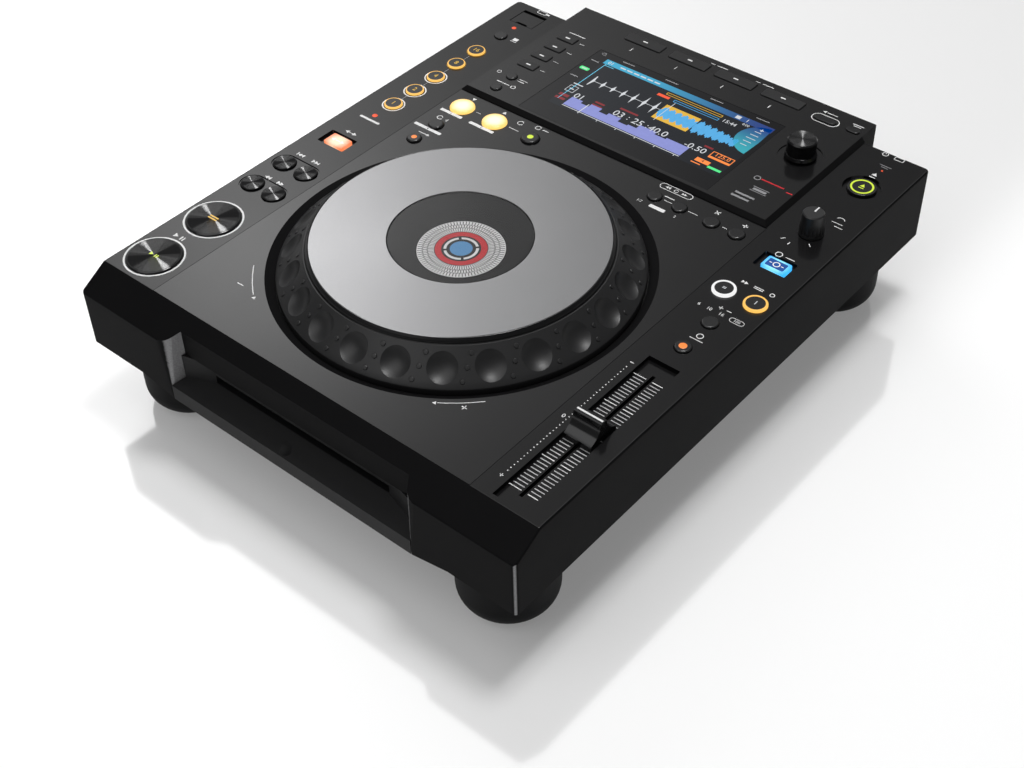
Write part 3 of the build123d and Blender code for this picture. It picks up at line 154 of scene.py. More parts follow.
class Tree:
    """The shader tree of a material or of the world."""

    def __init__(self, tree):
        self.tree = tree

    def plug(self, slot, value):
        """Gives a socket its value or its wire."""
        if isinstance(value, Wire):
            self.tree.links.new(value.socket, slot)
        elif slot.type == "RGBA" and len(value) == 3:
            slot.default_value = (*value, 1)
        else:
            slot.default_value = value

    def node(self, kind, settings=None, inputs=None, output=0):
        """Adds any node: its settings first, then the values or wires of its sockets."""
        made = self.tree.nodes.new(kind)
        for name, value in (settings or {}).items():
            setattr(made, name, value)
        for name, value in (inputs or {}).items():
            self.plug(made.inputs[name], value)
        return Wire(self, made.outputs[output])

    def parts(self, vector):
        """The X, Y and Z of a vector."""
        split = self.tree.nodes.new("ShaderNodeSeparateXYZ")
        self.plug(split.inputs[0], vector)
        return [Wire(self, socket) for socket in split.outputs]

    def ray(self, kind):
        return self.node("ShaderNodeLightPath", output=f"Is {kind} Ray")

    def seen(self):
        """1 where the camera looks, straight or by a mirror or a clear pane, and 0 where light falls."""
        return self.ray("Camera").or_more(self.ray("Glossy")).or_more(self.ray("Transmission"))


class Finish(Tree):
    """A material round one Principled shader, in the words of its sockets."""

    def __init__(self, name, colour, roughness, **constants):
        self.material = bpy.data.materials.new(name)
        self.material.use_nodes = True
        super().__init__(self.material.node_tree)
        self.shader = self.tree.nodes["Principled BSDF"]
        self.feed("Base Color", colour)
        self.feed("Roughness", roughness)
        for socket, value in constants.items():
            self.feed(socket.replace("_", " "), value)

    def feed(self, socket, value):
        """Gives a socket of the Principled shader its value or its wire."""
        self.plug(self.shader.inputs[socket], value)

    def show(self, surface):
        """Makes a shader the material's surface."""
        self.plug(self.tree.nodes["Material Output"].inputs["Surface"], surface)

    def place(self):
        return self.node("ShaderNodeTexCoord", output="Object")

    def facing(self):
        """The X, Y and Z of the way that the surface faces."""
        return self.parts(self.node("ShaderNodeTexCoord", output="Normal"))

    def away(self, x, y):
        """How far a point lies from (x, y) to the right, to the rear and in all, in metres."""
        across, along, _ = self.parts(self.place())
        across, along = across - x * MM, along - y * MM
        return across, along, (across * across + along * along) ** 0.5

    def noise(self, size, detail=2.0, roughness=0.5):
        """Noise with features of that size in millimetres."""
        values = {"Vector": self.place(), "Scale": 1 / (size * MM), "Detail": detail, "Roughness": roughness}
        return self.node("ShaderNodeTexNoise", {"noise_dimensions": "3D"}, values)

    def mix(self, factor, first, second):
        """A colour between two others."""
        values = {0: factor, 6: first, 7: second}
        return self.node("ShaderNodeMix", {"data_type": "RGBA"}, values, output=2)

    def bump(self, height, depth):
        """Raises the surface by height times depth millimetres."""
        self.feed("Normal", self.node("ShaderNodeBump", inputs={"Height": height, "Distance": depth * MM}))

    def moulded(self, roughness, grain, depth):
        """Moulded plastic: fine grain and uneven gloss. Gives the wide and the fine pattern."""
        smudge = self.noise(38, detail=4, roughness=0.6)
        fine = self.noise(grain)
        self.feed("Roughness", roughness + (smudge - 0.5) * UNEVEN + (fine - 0.5) * UNEVEN)
        self.bump(fine, depth)
        return smudge, fine

    def grooves(self, x, y, pitch, lean, sharp=False):
        """Fine concentric grooves round (x, y): they smear a reflection into a bow tie.
        Sharp grooves have flat flanks, others are waves."""
        across, along, radius = self.away(x, y)
        wave = (radius * (2 * math.pi / (pitch * MM))).sine()
        if sharp:
            wave = wave.math("SIGN", wave)
        wave = wave * self.facing()[2].step(0.9, 0.98) * lean
        tilt = self.node("ShaderNodeCombineXYZ",
                         inputs={0: across / radius * wave, 1: along / radius * wave})
        to_world = {"vector_type": "VECTOR", "convert_from": "OBJECT", "convert_to": "WORLD"}
        tilt = self.node("ShaderNodeVectorTransform", to_world, {0: tilt})
        normal = self.node("ShaderNodeNewGeometry", output="Normal")
        leaned = self.node("ShaderNodeVectorMath", {"operation": "ADD"}, {0: normal, 1: tilt})
        self.feed("Normal", self.node("ShaderNodeVectorMath", {"operation": "NORMALIZE"}, {0: leaned}))


UNEVEN = 0.06                 # how much the gloss of moulded plastic varies


def black(level):
    """A neutral black with a trace of blue."""
    return level, level, level + 0.0005


def shade(colour, factor):
    return tuple(part * factor for part in colour)


def lighter(colour):
    return tuple(part * 1.5 + 0.001 for part in colour)


def grained(name, colour, roughness, grain=0.35, depth=0.02, **constants):
    """Moulded plastic or plain metal, slightly uneven in colour too."""
    finish = Finish(name, colour, roughness, **constants)
    smudge, fine = finish.moulded(roughness, grain, depth)
    finish.feed("Base Color", finish.mix(smudge * 0.5 + fine * 0.3, colour, lighter(colour)))
    return finish


def glossy(name, colour, low_roughness, high_roughness, smudge_size, detail, **constants):
    """A smooth face that fingers have smudged."""
    finish = Finish(name, colour, low_roughness, **constants)
    smudge = finish.noise(smudge_size, detail=detail)
    finish.feed("Roughness", low_roughness + smudge * (high_roughness - low_roughness))
    return finish


def glowing(name, colour, strength, body=(0.006, 0.006, 0.006)):
    """A lit window or lens: a glossy face that glows a little unevenly."""
    finish = Finish(name, body, 0.18, Emission_Strength=strength)
    cloud = finish.noise(2.2, detail=3)
    finish.feed("Emission Color", finish.mix(cloud, shade(colour, 0.82), colour))
    return finish


def printed(name, colour):
    """Screen-printed ink, thin and slightly rough."""
    finish = Finish(name, colour, 0.5, Specular_IOR_Level=0.3)
    speck = finish.noise(0.5)
    finish.feed("Base Color", finish.mix(speck * 0.6, colour, shade(colour, 0.8)))
    finish.bump(speck, 0.01)
    return finish


# ---------------------------------------------------------------- modelling by hand
def deselect():
    bpy.ops.object.select_all(action="DESELECT")


def choose(*pieces):
    """Selects these pieces alone, the last one active."""
    deselect()
    for piece in pieces:
        piece.select_set(True)
    bpy.context.view_layer.objects.active = pieces[-1]


def apply_place(piece):
    """Puts a piece's place, turn and scale into its mesh."""
    choose(piece)
    bpy.ops.object.transform_apply(location=True, rotation=True, scale=True)


def edit():
    bpy.ops.object.mode_set(mode="EDIT")


def leave():
    bpy.ops.object.mode_set(mode="OBJECT")


def pick(kind, test):
    """Selects the vertices, edges or faces of the piece in edit mode that pass the test."""
    bpy.ops.mesh.select_all(action="DESELECT")
    bpy.ops.mesh.select_mode(type=kind)
    mesh = bmesh.from_edit_mesh(bpy.context.object.data)
    group = {"VERT": mesh.verts, "EDGE": mesh.edges, "FACE": mesh.faces}[kind]
    for element in group:
        element.select_set(test(element))
    mesh.select_flush_mode()
    bmesh.update_edit_mesh(bpy.context.object.data)


def up(distance):
    """Extrudes what is selected upwards."""
    bpy.ops.mesh.extrude_region_move(TRANSFORM_OT_translate={"value": (0, 0, distance * MM)})


def spread(factor, x, y, z):
    """Scales what is selected in plan about a point."""
    bpy.ops.transform.resize(value=(factor, factor, 1), center_override=Vector((x, y, z)) * MM)


def outwards():
    """Makes the faces of the piece in edit mode point outwards, and leaves edit mode."""
    bpy.ops.mesh.select_all(action="SELECT")
    bpy.ops.mesh.remove_doubles(threshold=1e-7)
    bpy.ops.mesh.normals_make_consistent(inside=False)
    leave()


def circle(x, y, z, radius, corners=64, fill="NOTHING"):
    deselect()
    bpy.ops.mesh.primitive_circle_add(vertices=corners, radius=radius * MM, fill_type=fill,
                                      location=Vector((x, y, z)) * MM)
    return bpy.context.object


def turned(x, y, section, corners=64, ring=False):
    """A turned solid: a circle that is extruded and scaled along a section of (radius, height).
    A ring's section closes on itself, any other gets a flat face at each end."""
    radius, height = section[0]
    piece = circle(x, y, height, radius, corners)
    edit()
    for next_radius, next_height in section[1:]:
        up(next_height - height)
        spread(next_radius / radius, x, y, next_height)
        radius, height = next_radius, next_height
    bpy.ops.mesh.select_all(action="DESELECT")
    bpy.ops.mesh.select_mode(type="EDGE")
    bpy.ops.mesh.select_non_manifold()
    if ring:
        bpy.ops.mesh.bridge_edge_loops()
    else:
        bpy.ops.mesh.fill_holes(sides=0)
    outwards()
    return piece


def dome(x, y, z, radius, height, corners=32):
    """A lens: a domed button of light."""
    section = [(radius, z - SUNK)]
    for step in range(6):
        angle = math.pi / 2 * step / 6
        section.append((radius * math.cos(angle), z + height * math.sin(angle)))
    section.append((radius * 0.05, z + height))
    return turned(x, y, section, corners)


def band(x, y, z, inner, outer, thick=PRINT, corners=64):
    """A flat ring, printed or laid on a surface."""
    section = [(inner, z - SUNK), (outer, z - SUNK), (outer, z + thick), (inner, z + thick)]
    return turned(x, y, section, corners, ring=True)


def arc(x, y, z, radius, width, start, end, thick=PRINT, corners=144):
    """A stretch of a flat ring between two angles in degrees."""
    piece = circle(x, y, z - SUNK, radius - width / 2, corners)
    edit()

    def outside(vertex):
        angle = math.degrees(math.atan2(vertex.co.y, vertex.co.x))
        return (angle - start) % 360 > (end - start) % 360 + 1e-3

    pick("VERT", outside)
    bpy.ops.mesh.delete(type="VERT")
    bpy.ops.mesh.select_all(action="SELECT")
    up(0)
    spread((radius + width / 2) / (radius - width / 2), x, y, z)
    bpy.ops.mesh.select_all(action="SELECT")
    up(thick + SUNK)
    outwards()
    return piece


def bar(x, y, z, length, width, turn=0.0, thick=PRINT, rounded=0.0):
    """A flat bar, with its corners rounded by a share of its width."""
    deselect()
    bpy.ops.mesh.primitive_plane_add(size=MM, location=Vector((x, y, z - SUNK)) * MM)
    piece = bpy.context.object
    piece.scale = (length, width, 1)
    piece.rotation_euler.z = math.radians(turn)
    bpy.ops.object.transform_apply(location=False, rotation=True, scale=True)
    edit()
    bpy.ops.mesh.select_all(action="SELECT")
    if rounded:
        bpy.ops.mesh.bevel(offset=rounded * min(length, width) * MM, segments=3, affect="VERTICES")
        bpy.ops.mesh.select_all(action="SELECT")
    up(thick + SUNK)
    outwards()
    return piece


def arrow(x, y, z, size, turn=0.0):
    """A triangle that points along turn."""
    piece = circle(x, y, z - SUNK, size * 0.577, 3, fill="NGON")
    piece.rotation_euler.z = math.radians(turn - 90)
    bpy.ops.object.transform_apply(location=False, rotation=True, scale=False)
    edit()
    bpy.ops.mesh.select_all(action="SELECT")
    up(PRINT + SUNK)
    outwards()
    return piece


def bars(z, *rows, **shape):
    """Flat bars at one height, each given by its x, y, length and width, and its turn if it has one."""
    return [bar(x, y, z, *size, **shape) for x, y, *size in rows]


def numbers(z, *rows, **shape):
    """Numbers at one height, each given by its text, x, y and height."""
    return [number(text, x, y, z, height, **shape) for text, x, y, height in rows]


def frame_line(x, y, z, length, width, line, thick=PRINT):
    """The outline of a box, in four bars."""
    rows = [(x, y + width / 2, length, line), (x, y - width / 2, length, line),
            (x - length / 2, y, line, width), (x + length / 2, y, line, width)]
    return bars(z, *rows, thick=thick)


def oval_line(x, y, z, length, width, line):
    """The outline of an oval that lies along x."""
    reach, radius = (length - width) / 2, width / 2
    ends = [arc(x - reach, y, z, radius, line, 90, 270, corners=48),
            arc(x + reach, y, z, radius, line, -90, 90, corners=48)]
    return ends + bars(z, (x, y + radius, 2 * reach, line), (x, y - radius, 2 * reach, line))


def small_ring(x, y, z, inner, outer):
    return band(x, y, z, inner, outer, corners=32)


def wave(x, y, z, step, heights):
    """A sound wave: a narrow bar that is extruded to the right and scaled to each height in turn."""
    piece = bar(x + step / 2, y, z, step, heights[0], thick=PIXEL)
    edit()
    pick("FACE", lambda face: face.normal.x > 0.9)
    for before, height in zip(heights, heights[1:]):
        bpy.ops.mesh.extrude_region_move(TRANSFORM_OT_translate={"value": (step * MM, 0, 0)})
        bpy.ops.transform.resize(value=(1, height / before, 1), center_override=Vector((x, y, z)) * MM)
    outwards()
    return piece


def play_sign(x, y, z, size):
    """An arrowhead and two bars."""
    pair = bars(z, (x + size * 0.45, y, size * 0.28, size), (x + size * 1.05, y, size * 0.28, size))
    return [arrow(x - size, y, z, size * 1.1)] + pair


def double_arrow(x, y, z, size, turn, stop=False):
    """Two arrowheads in a row, with a bar at their tip where they jump to a track."""
    side = math.cos(math.radians(turn))
    pieces = [arrow(x + shift * side * size * 0.42, y, z, size, turn) for shift in (-1, 1)]
    if stop:
        pieces.append(bar(x + side * size * 1.12, y, z, size * 0.22, size * 0.95))
    return pieces


def back_and_on(x, y, z, apart, size, stop=False):
    """Double arrows to the left and to the right."""
    return double_arrow(x - apart, y, z, size, 180, stop) + double_arrow(x + apart, y, z, size, 0, stop)


def loop_sign(x, y, z, size):
    """A loop: most of a circle that ends in an arrowhead."""
    radius, end = size / 2, 330
    turn = math.radians(end)
    tip = arrow(x + radius * math.cos(turn), y + radius * math.sin(turn), z, size * 0.42, end + 90)
    return [arc(x, y, z, radius, size * 0.14, 20, end, corners=48), tip]


def plus_sign(x, y, z, size):
    return bars(z, (x, y, size, size * 0.2), (x, y, size * 0.2, size))


def cross_sign(x, y, z, size):
    return bars(z, (x, y, size * 1.2, size * 0.2, 45), (x, y, size * 1.2, size * 0.2, -45))


def number(text, x, y, z, height, thick=PRINT):
    """A plain number, centred on its place."""
    deselect()
    bpy.ops.object.text_add()
    piece = bpy.context.object
    piece.data.body = text
    piece.data.align_x, piece.data.align_y = "CENTER", "CENTER"
    piece.data.size = height * MM / DIGIT_HEIGHT
    piece.data.extrude = (thick + SUNK) / 2 * MM
    piece.data.resolution_u = 3
    bpy.ops.object.convert(target="MESH")
    piece = bpy.context.object
    piece.location = Vector((x, y, z + (thick - SUNK) / 2)) * MM
    apply_place(piece)
    return piece


def in_a_row(piece, count, step):
    """Repeats a piece count times, a step to the rear each."""
    choose(piece)
    row = piece.modifiers.new("row", "ARRAY")
    row.count = count
    row.use_relative_offset, row.use_constant_offset = False, True
    row.constant_offset_displace = (0, step * MM, 0)
    bpy.ops.object.modifier_apply(modifier=row.name)
    return piece


def joined(pieces):
    """Joins pieces of one finish into one."""
    for piece in pieces:
        apply_place(piece)
    choose(*pieces)
    if len(pieces) > 1:
        bpy.ops.object.join()
    return bpy.context.object


def finished(piece, name, body, finish, crease=32):
    """Gives a piece its name, finish and body, with its origin at the frame's origin."""
    apply_place(piece)
    bpy.ops.object.shade_smooth_by_angle(angle=math.radians(crease))
    piece.name = piece.data.name = name
    piece.data.materials.clear()
    piece.data.materials.append(finish.material)
    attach(piece, body)
    return piece


def paint(finish, *nodes):
    """Gives CAD nodes their finish."""
    for node in nodes:
        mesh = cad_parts[node].data
        mesh.materials.clear()
        mesh.materials.append(finish.material)


# ---------------------------------------------------------------- finishes
def deck_finish(name, level, coat):
    """Black housing plastic: lacquered flat top, matt grained walls, and a painted highlight on upright
    corners that face diagonally, made as speckled bright metal.
    """
    colour = (level, level - 0.0001, level + 0.0002)
    finish = Finish(name, colour, 0.5, Specular_IOR_Level=0.03, Coat_Roughness=0.13)
    matt, _ = finish.moulded(0.5, grain=0.35, depth=0.02)
    sideways, forwards, upright = finish.facing()
    smudge = finish.noise(60, detail=3)
    finish.feed("Coat Weight", upright.step(0.93, 0.985) * coat * (smudge * 0.16 + 0.92))
    speck = finish.noise(0.7, detail=3)
    # Painted highlight: upright faces that point diagonally get a bright metal colour and full metallic,
    # speckled, so the corners show a bright strip.
    corner = (sideways.size() * forwards.size()).step(0.36, 0.5) * (speck * 0.9 + 0.45)
    plain = finish.mix(matt * 0.5 + 0.15, colour, lighter(colour))
    finish.feed("Base Color", finish.mix(corner, plain, PAINTED_CORNER_HIGHLIGHT))
    finish.feed("Metallic", corner)
    return finish


def window_glass():
    """Black glass with dust and wiping marks."""
    finish = Finish("glass_black", (0.003, 0.003, 0.004), 0.06, Specular_IOR_Level=0.42)
    dust = finish.noise(9, detail=5, roughness=0.7)
    finish.feed("Roughness", 0.05 + dust * 0.06)
    return finish


def turned_aluminium():
    """Aluminium turned on a lathe: concentric grooves and faint streaks round the wheel's middle."""
    colour, roughness = (0.40, 0.40, 0.407), 0.22
    finish = Finish("jog_disc_aluminium", colour, roughness, Metallic=1.0)
    finish.grooves(JOG_X, JOG_Y, pitch=0.35, lean=0.05)
    fine = finish.noise(0.8, detail=3)
    wide = finish.noise(30, detail=2)
    finish.feed("Roughness", roughness + (fine - 0.5) * 0.12 + (wide - 0.5) * 0.05)
    finish.feed("Base Color", finish.mix(fine * 0.7 + wide * 0.3, shade(colour, 0.86), colour))
    return finish


PAINTED_CORNER_HIGHLIGHT = (0.26, 0.26, 0.265)  # painted highlight: bright metal colour given to upright corners that face diagonally
housing = deck_finish("housing_black", 0.0042, 0.78)
panel = deck_finish("centre_panel_black", 0.0048, 1.0)
block = deck_finish("display_block_black", 0.0058, 0.9)
pan = grained("pan_black", black(0.0075), 0.6, grain=0.6, depth=0.04, Specular_IOR_Level=0.1)
bezel = grained("slot_bezel_black", black(0.0075), 0.5, Specular_IOR_Level=0.15)
rubber = grained("foot_rubber", black(0.009), 0.8, grain=0.5, depth=0.05, Specular_IOR_Level=0.15)
jog_black = grained("jog_black", black(0.009), 0.42, grain=0.25, depth=0.008, Specular_IOR_Level=0.5)
rim_black = grained("jog_rim_black", black(0.004), 0.3, grain=0.25, depth=0.004, Specular_IOR_Level=0.25)
dish_black = grained("dish_black", black(0.006), 0.4, grain=0.25, depth=0.006, Specular_IOR_Level=0.1)
fader_black = grained("fader_black", black(0.006), 0.14, grain=0.3, depth=0.002)
knob_black = grained("knob_black", black(0.009), 0.4, grain=0.25, depth=0.01)
key_black = grained("key_black", black(0.011), 0.36, Specular_IOR_Level=0.4)
button_black = grained("button_black", black(0.009), 0.22, grain=0.2, depth=0.004)
inner_black = grained("inner_black", (0.01, 0.01, 0.01), 0.6)
socket_black = grained("socket_black", (0.012, 0.012, 0.013), 0.5)
gloss_black = window_glass()
disc_silver = turned_aluminium()
steel = grained("drive_steel", (0.45, 0.45, 0.46), 0.35, grain=1.5, Metallic=1.0)
screw_steel = grained("screw_steel", (0.03, 0.03, 0.032), 0.35, Metallic=1.0)

white_ink = printed("white_ink", (0.86, 0.86, 0.86))
light_ink = printed("light_ink", (0.55, 0.55, 0.56))
grey_ink = printed("grey_ink", (0.30, 0.30, 0.31))
gold_ink = printed("gold_ink", (0.42, 0.24, 0.03))
red_ink = printed("label_red", (0.62, 0.02, 0.03))
dark_ink = printed("label_dark", (0.012, 0.012, 0.014))
blue_ink = printed("label_blue", (0.10, 0.32, 0.62))

amber = glowing("lamp_amber", (1.0, 0.55, 0.12), 1.2)
orange = glowing("lamp_orange", (1.0, 0.26, 0.05), 1.2)
red = glowing("lamp_red", (1.0, 0.10, 0.03), 1.1)
cyan = glowing("lamp_cyan", (0.16, 0.72, 1.0), 1.2)
sky_blue = glowing("screen_sky", (0.10, 0.50, 0.95), 0.9)
lavender = glowing("screen_lavender", (0.34, 0.38, 0.88), 0.8)
gold = glowing("screen_gold", (0.95, 0.56, 0.05), 0.9)
dim_red = glowing("screen_red", (0.42, 0.02, 0.03), 0.6)
dim_white = glowing("screen_white", (0.85, 0.88, 0.92), 0.85)
night = glowing("screen_night", (0.003, 0.008, 0.018), 0.5, (0.001, 0.001, 0.001))
deep_blue = glowing("lamp_blue", (0.01, 0.10, 0.42), 0.9)
lime = glowing("lamp_lime", (0.70, 0.88, 0.06), 1.1)
green = glowing("lamp_green", (0.10, 0.95, 0.30), 1.0)
white_light = glowing("lamp_white", (1.0, 1.0, 1.0), 1.0)


# ---------------------------------------------------------------- CAD nodes that keep their shape
SMALL_CAPS = ["usb_stop_button", "four_beat_button", "slip_button", "reloop_button", "call_back_button",
              "call_next_button", "delete_button", "memory_button", "time_mode_button", "quantize_button",
              "tempo_range_button", "master_tempo_button", "back_button", "tag_button"]
GROOVED_CAPS = ["play_pause_button", "cue_button", "search_back_button", "search_forward_button",
                "track_back_button", "track_forward_button"]
BEATS = [f"beat_button_{i}" for i in range(1, 6)]
SIDE_KEYS = [f"display_key_{i}" for i in range(1, 5)]
TOP_KEYS = [f"top_key_{i}" for i in range(1, 5)]
FLANK = 0.49                  # lean of the sharp grooves' flanks


def grooved_cap(node):
    """Glossy black cap with concentric grooves in its top."""
    x, y, _, _ = cap(node)
    finish = glossy(f"{node}_gloss", black(0.004), 0.08, 0.14, 5, 4, Specular_IOR_Level=0.5)
    finish.grooves(x, y, 0.32, FLANK, sharp=True)
    return finish


def grooved_selector():
    """Rotary knob: satin black flutes and a turned top."""
    spot = middle("selector_knob")
    finish = glossy("selector_black", black(0.005), 0.16, 0.26, 3, 3, Specular_IOR_Level=0.35)
    finish.grooves(spot.x, spot.y, 0.3, FLANK, sharp=True)
    return finish


def paint_nodes():
    paint(housing, "top_housing", "usb_cover")
    paint(panel, "centre_panel")
    paint(block, "display_frame")
    paint(gloss_black, "display_window")
    paint(pan, "bottom_pan")
    paint(bezel, "slot_bezel")
    paint(rubber, "rubber_feet")
    paint(screw_steel, "case_screws")
    paint(socket_black, "rear_panel", "power_button")
    paint(steel, "disc_drive")
    paint(inner_black, "control_boards", "jog_plinth", "drive_spindle", "selector_shaft")
    paint(knob_black, "vinyl_speed_knob")
    paint(fader_black, "tempo_fader")
    paint(key_black, *SIDE_KEYS, *TOP_KEYS)
    paint(button_black, *SMALL_CAPS, *BEATS, "sync_button", "master_button", "eject_button")
    paint(grooved_selector(), "selector_knob")
    for node in GROOVED_CAPS:
        paint(grooved_cap(node), node)


# ---------------------------------------------------------------- jog wheel
DISC_RADIUS, EYE_RADIUS, RIM_RADIUS = 80.5, 39.2, 82.3
SKIRT = high("jog_wheel").x - JOG_X
SKIRT_BOTTOM = low("jog_wheel").z
CONE_IN, CONE_OUT, CONE_WALL = (83.4, 103.5), (99.2, 89.0), 4.2     # radius and height of its edges
CONE_STEPS = 6
DIMPLES, DIMPLE_RING, DIMPLE_RADIUS, DIMPLE_DEPTH, DIMPLE_TURN = 24, 91.4, 8.35, 2.4, 5.6
STUD_RADIUS = 1.3
STUD_ROWS = ((86.2, 0.623), (91.5, 0.518), (96.65, 0.408))     # radius, and share of the dimples' spacing
RAYS = 84
RAY_ROWS = ((14.6, 18.4, 0.0), (17.6, 21.0, 0.5), (20.2, 23.4, 0.0))     # start, end and shift of the rays
cone_run, cone_drop = CONE_OUT[0] - CONE_IN[0], CONE_IN[1] - CONE_OUT[1]
cone_angle = math.atan2(cone_drop, cone_run)


def on_wheel(radius, angle, height):
    """A point at a radius and angle round the wheel's axis."""
    return JOG_X + radius * math.cos(angle), JOG_Y + radius * math.sin(angle), height


def on_cone(radius):
    """Height of the dimpled cone at a radius."""
    return CONE_IN[1] - cone_drop * (radius - CONE_IN[0]) / cone_run


def wheel_turned(section, corners=180, ring=False):
    return turned(JOG_X, JOG_Y, section, corners, ring)


def wheel_body():
    """Black wheel: rim, dimpled cone and skirt."""
    in_x, in_z = math.sin(cone_angle) * CONE_WALL, math.cos(cone_angle) * CONE_WALL
    seat = [
        (EYE_RADIUS + 3.0, JOG_TOP - 4.0), (EYE_RADIUS + 3.0, JOG_TOP - 1.1),
        (DISC_RADIUS + 0.12, JOG_TOP - 1.1), (DISC_RADIUS + 0.15, JOG_TOP - 0.3),
        (DISC_RADIUS + 0.35, JOG_TOP - 0.12), (RIM_RADIUS - 0.5, JOG_TOP - 1.05),
        (RIM_RADIUS - 0.15, JOG_TOP - 1.5), (RIM_RADIUS, JOG_TOP - 2.2),
        (RIM_RADIUS + 0.1, CONE_IN[1] + 0.3), (RIM_RADIUS + 0.4, CONE_IN[1] + 0.05),
    ]
    radii = [CONE_IN[0] + cone_run * i / CONE_STEPS for i in range(CONE_STEPS)]
    cone = [(radius, on_cone(radius)) for radius in radii]
    skirt = [
        (CONE_OUT[0] - 0.4, CONE_OUT[1] + 0.37), (CONE_OUT[0] + 0.1, CONE_OUT[1] - 0.3),
        (SKIRT, CONE_OUT[1] - 1.4), (SKIRT, SKIRT_BOTTOM), (CONE_OUT[0] - in_x, SKIRT_BOTTOM),
        (CONE_OUT[0] - in_x, CONE_OUT[1] - in_z), (CONE_IN[0] - in_x, CONE_IN[1] - in_z),
        (76.0, JOG_TOP - 4.0),
    ]
    wheel = wheel_turned(seat + cone + skirt, corners=240, ring=True)
    cutter = dimple_cutter()
    choose(wheel)
    cut = wheel.modifiers.new("dimples", "BOOLEAN")
    cut.operation, cut.solver, cut.object = "DIFFERENCE", "EXACT", cutter
    bpy.ops.object.modifier_apply(modifier=cut.name)
    bpy.data.objects.remove(cutter)
    return wheel


def dimple_cutter():
    """The ball-shaped cuts of the finger dimples."""
    ball = (DIMPLE_RADIUS**2 + DIMPLE_DEPTH**2) / (2 * DIMPLE_DEPTH)
    out = math.sin(cone_angle) * (ball - DIMPLE_DEPTH)
    rise = math.cos(cone_angle) * (ball - DIMPLE_DEPTH)
    balls = []
    for i in range(DIMPLES):
        angle = math.radians(DIMPLE_TURN) + 2 * math.pi * i / DIMPLES
        deselect()
        spot = Vector(on_wheel(DIMPLE_RING + out, angle, on_cone(DIMPLE_RING) + rise)) * MM
        bpy.ops.mesh.primitive_ico_sphere_add(subdivisions=5, radius=ball * MM, location=spot)
        balls.append(bpy.context.object)
    return joined(balls)


def stud(radius, angle):
    """A small stud with a narrow collar, square to the cone."""
    x, y, z = on_wheel(radius, angle, on_cone(radius))
    section = [(STUD_RADIUS + 0.35, z - 0.6), (STUD_RADIUS + 0.35, z + 0.06), (STUD_RADIUS + 0.1, z + 0.02),
               (STUD_RADIUS, z + 0.3), (STUD_RADIUS - 0.2, z + 0.45), (0.5, z + 0.48)]
    piece = turned(x, y, section, corners=16)
    apply_place(piece)
    spot = Vector((x, y, z)) * MM
    lean = Matrix.Rotation(cone_angle, 4, Vector((-math.sin(angle), math.cos(angle), 0)))
    piece.matrix_world = Matrix.Translation(spot) @ lean @ Matrix.Translation(-spot)
    apply_place(piece)
    return piece


def wheel_studs():
    """Three small studs between each pair of dimples."""
    turns = [(radius, i + share) for i in range(DIMPLES) for radius, share in STUD_ROWS]
    start = math.radians(DIMPLE_TURN)
    return joined([stud(radius, start + 2 * math.pi * turn / DIMPLES) for radius, turn in turns])


def rim_ring():
    """Glossy step between the disc and the cone, with a fine groove."""
    section = [
        (DISC_RADIUS + 0.1, JOG_TOP - 1.4), (DISC_RADIUS + 0.1, JOG_TOP - 0.2),
        (DISC_RADIUS + 0.4, JOG_TOP - 0.05), (RIM_RADIUS - 0.5, JOG_TOP - 0.95),
        (RIM_RADIUS - 0.1, JOG_TOP - 1.4), (RIM_RADIUS + 0.1, JOG_TOP - 2.0),
        (RIM_RADIUS + 0.15, CONE_IN[1] + 0.35), (RIM_RADIUS + 0.5, CONE_IN[1] + 0.1),
        (RIM_RADIUS + 0.5, CONE_IN[1] - 0.6),
    ]
    return wheel_turned(section, ring=True)


def top_disc():
    """The aluminium disc with its round eye."""
    section = [
        (EYE_RADIUS, JOG_TOP - 3.2), (EYE_RADIUS, JOG_TOP - 0.25), (EYE_RADIUS + 0.2, JOG_TOP),
        (DISC_RADIUS - 0.3, JOG_TOP), (DISC_RADIUS, JOG_TOP - 0.25), (DISC_RADIUS, JOG_TOP - 1.2),
        (EYE_RADIUS + 2.9, JOG_TOP - 1.2), (EYE_RADIUS + 2.9, JOG_TOP - 3.2),
    ]
    return wheel_turned(section, ring=True)


def label_part(name, piece, finish):
    """A piece of the table in the middle of the wheel, which doesn't turn."""
    finished(piece, name, "player", finish)


def label_bowl():
    """A bowl under a clear pane, and a white disc in it."""
    z, rim, reach = LABEL_TABLE, JOG_TOP - 0.9, EYE_RADIUS - 0.3
    bowl = [(reach, z - 1.0), (reach, rim), (38.5, rim), (25.0, z + 0.1)]
    label_part("label_bowl", wheel_turned(bowl, 120), dish_black)
    pane = [(reach, rim), (reach, rim + 0.6), (38.7, rim + 0.75), (4.0, rim + 0.75)]
    label_part("label_pane", wheel_turned(pane, 120), clear_pane())
    disc = [(23.8, z + 0.1 - SUNK), (23.8, z + 0.4), (23.6, z + 0.45), (2.0, z + 0.45)]
    label_part("label_disc", wheel_turned(disc, 96), white_ink)


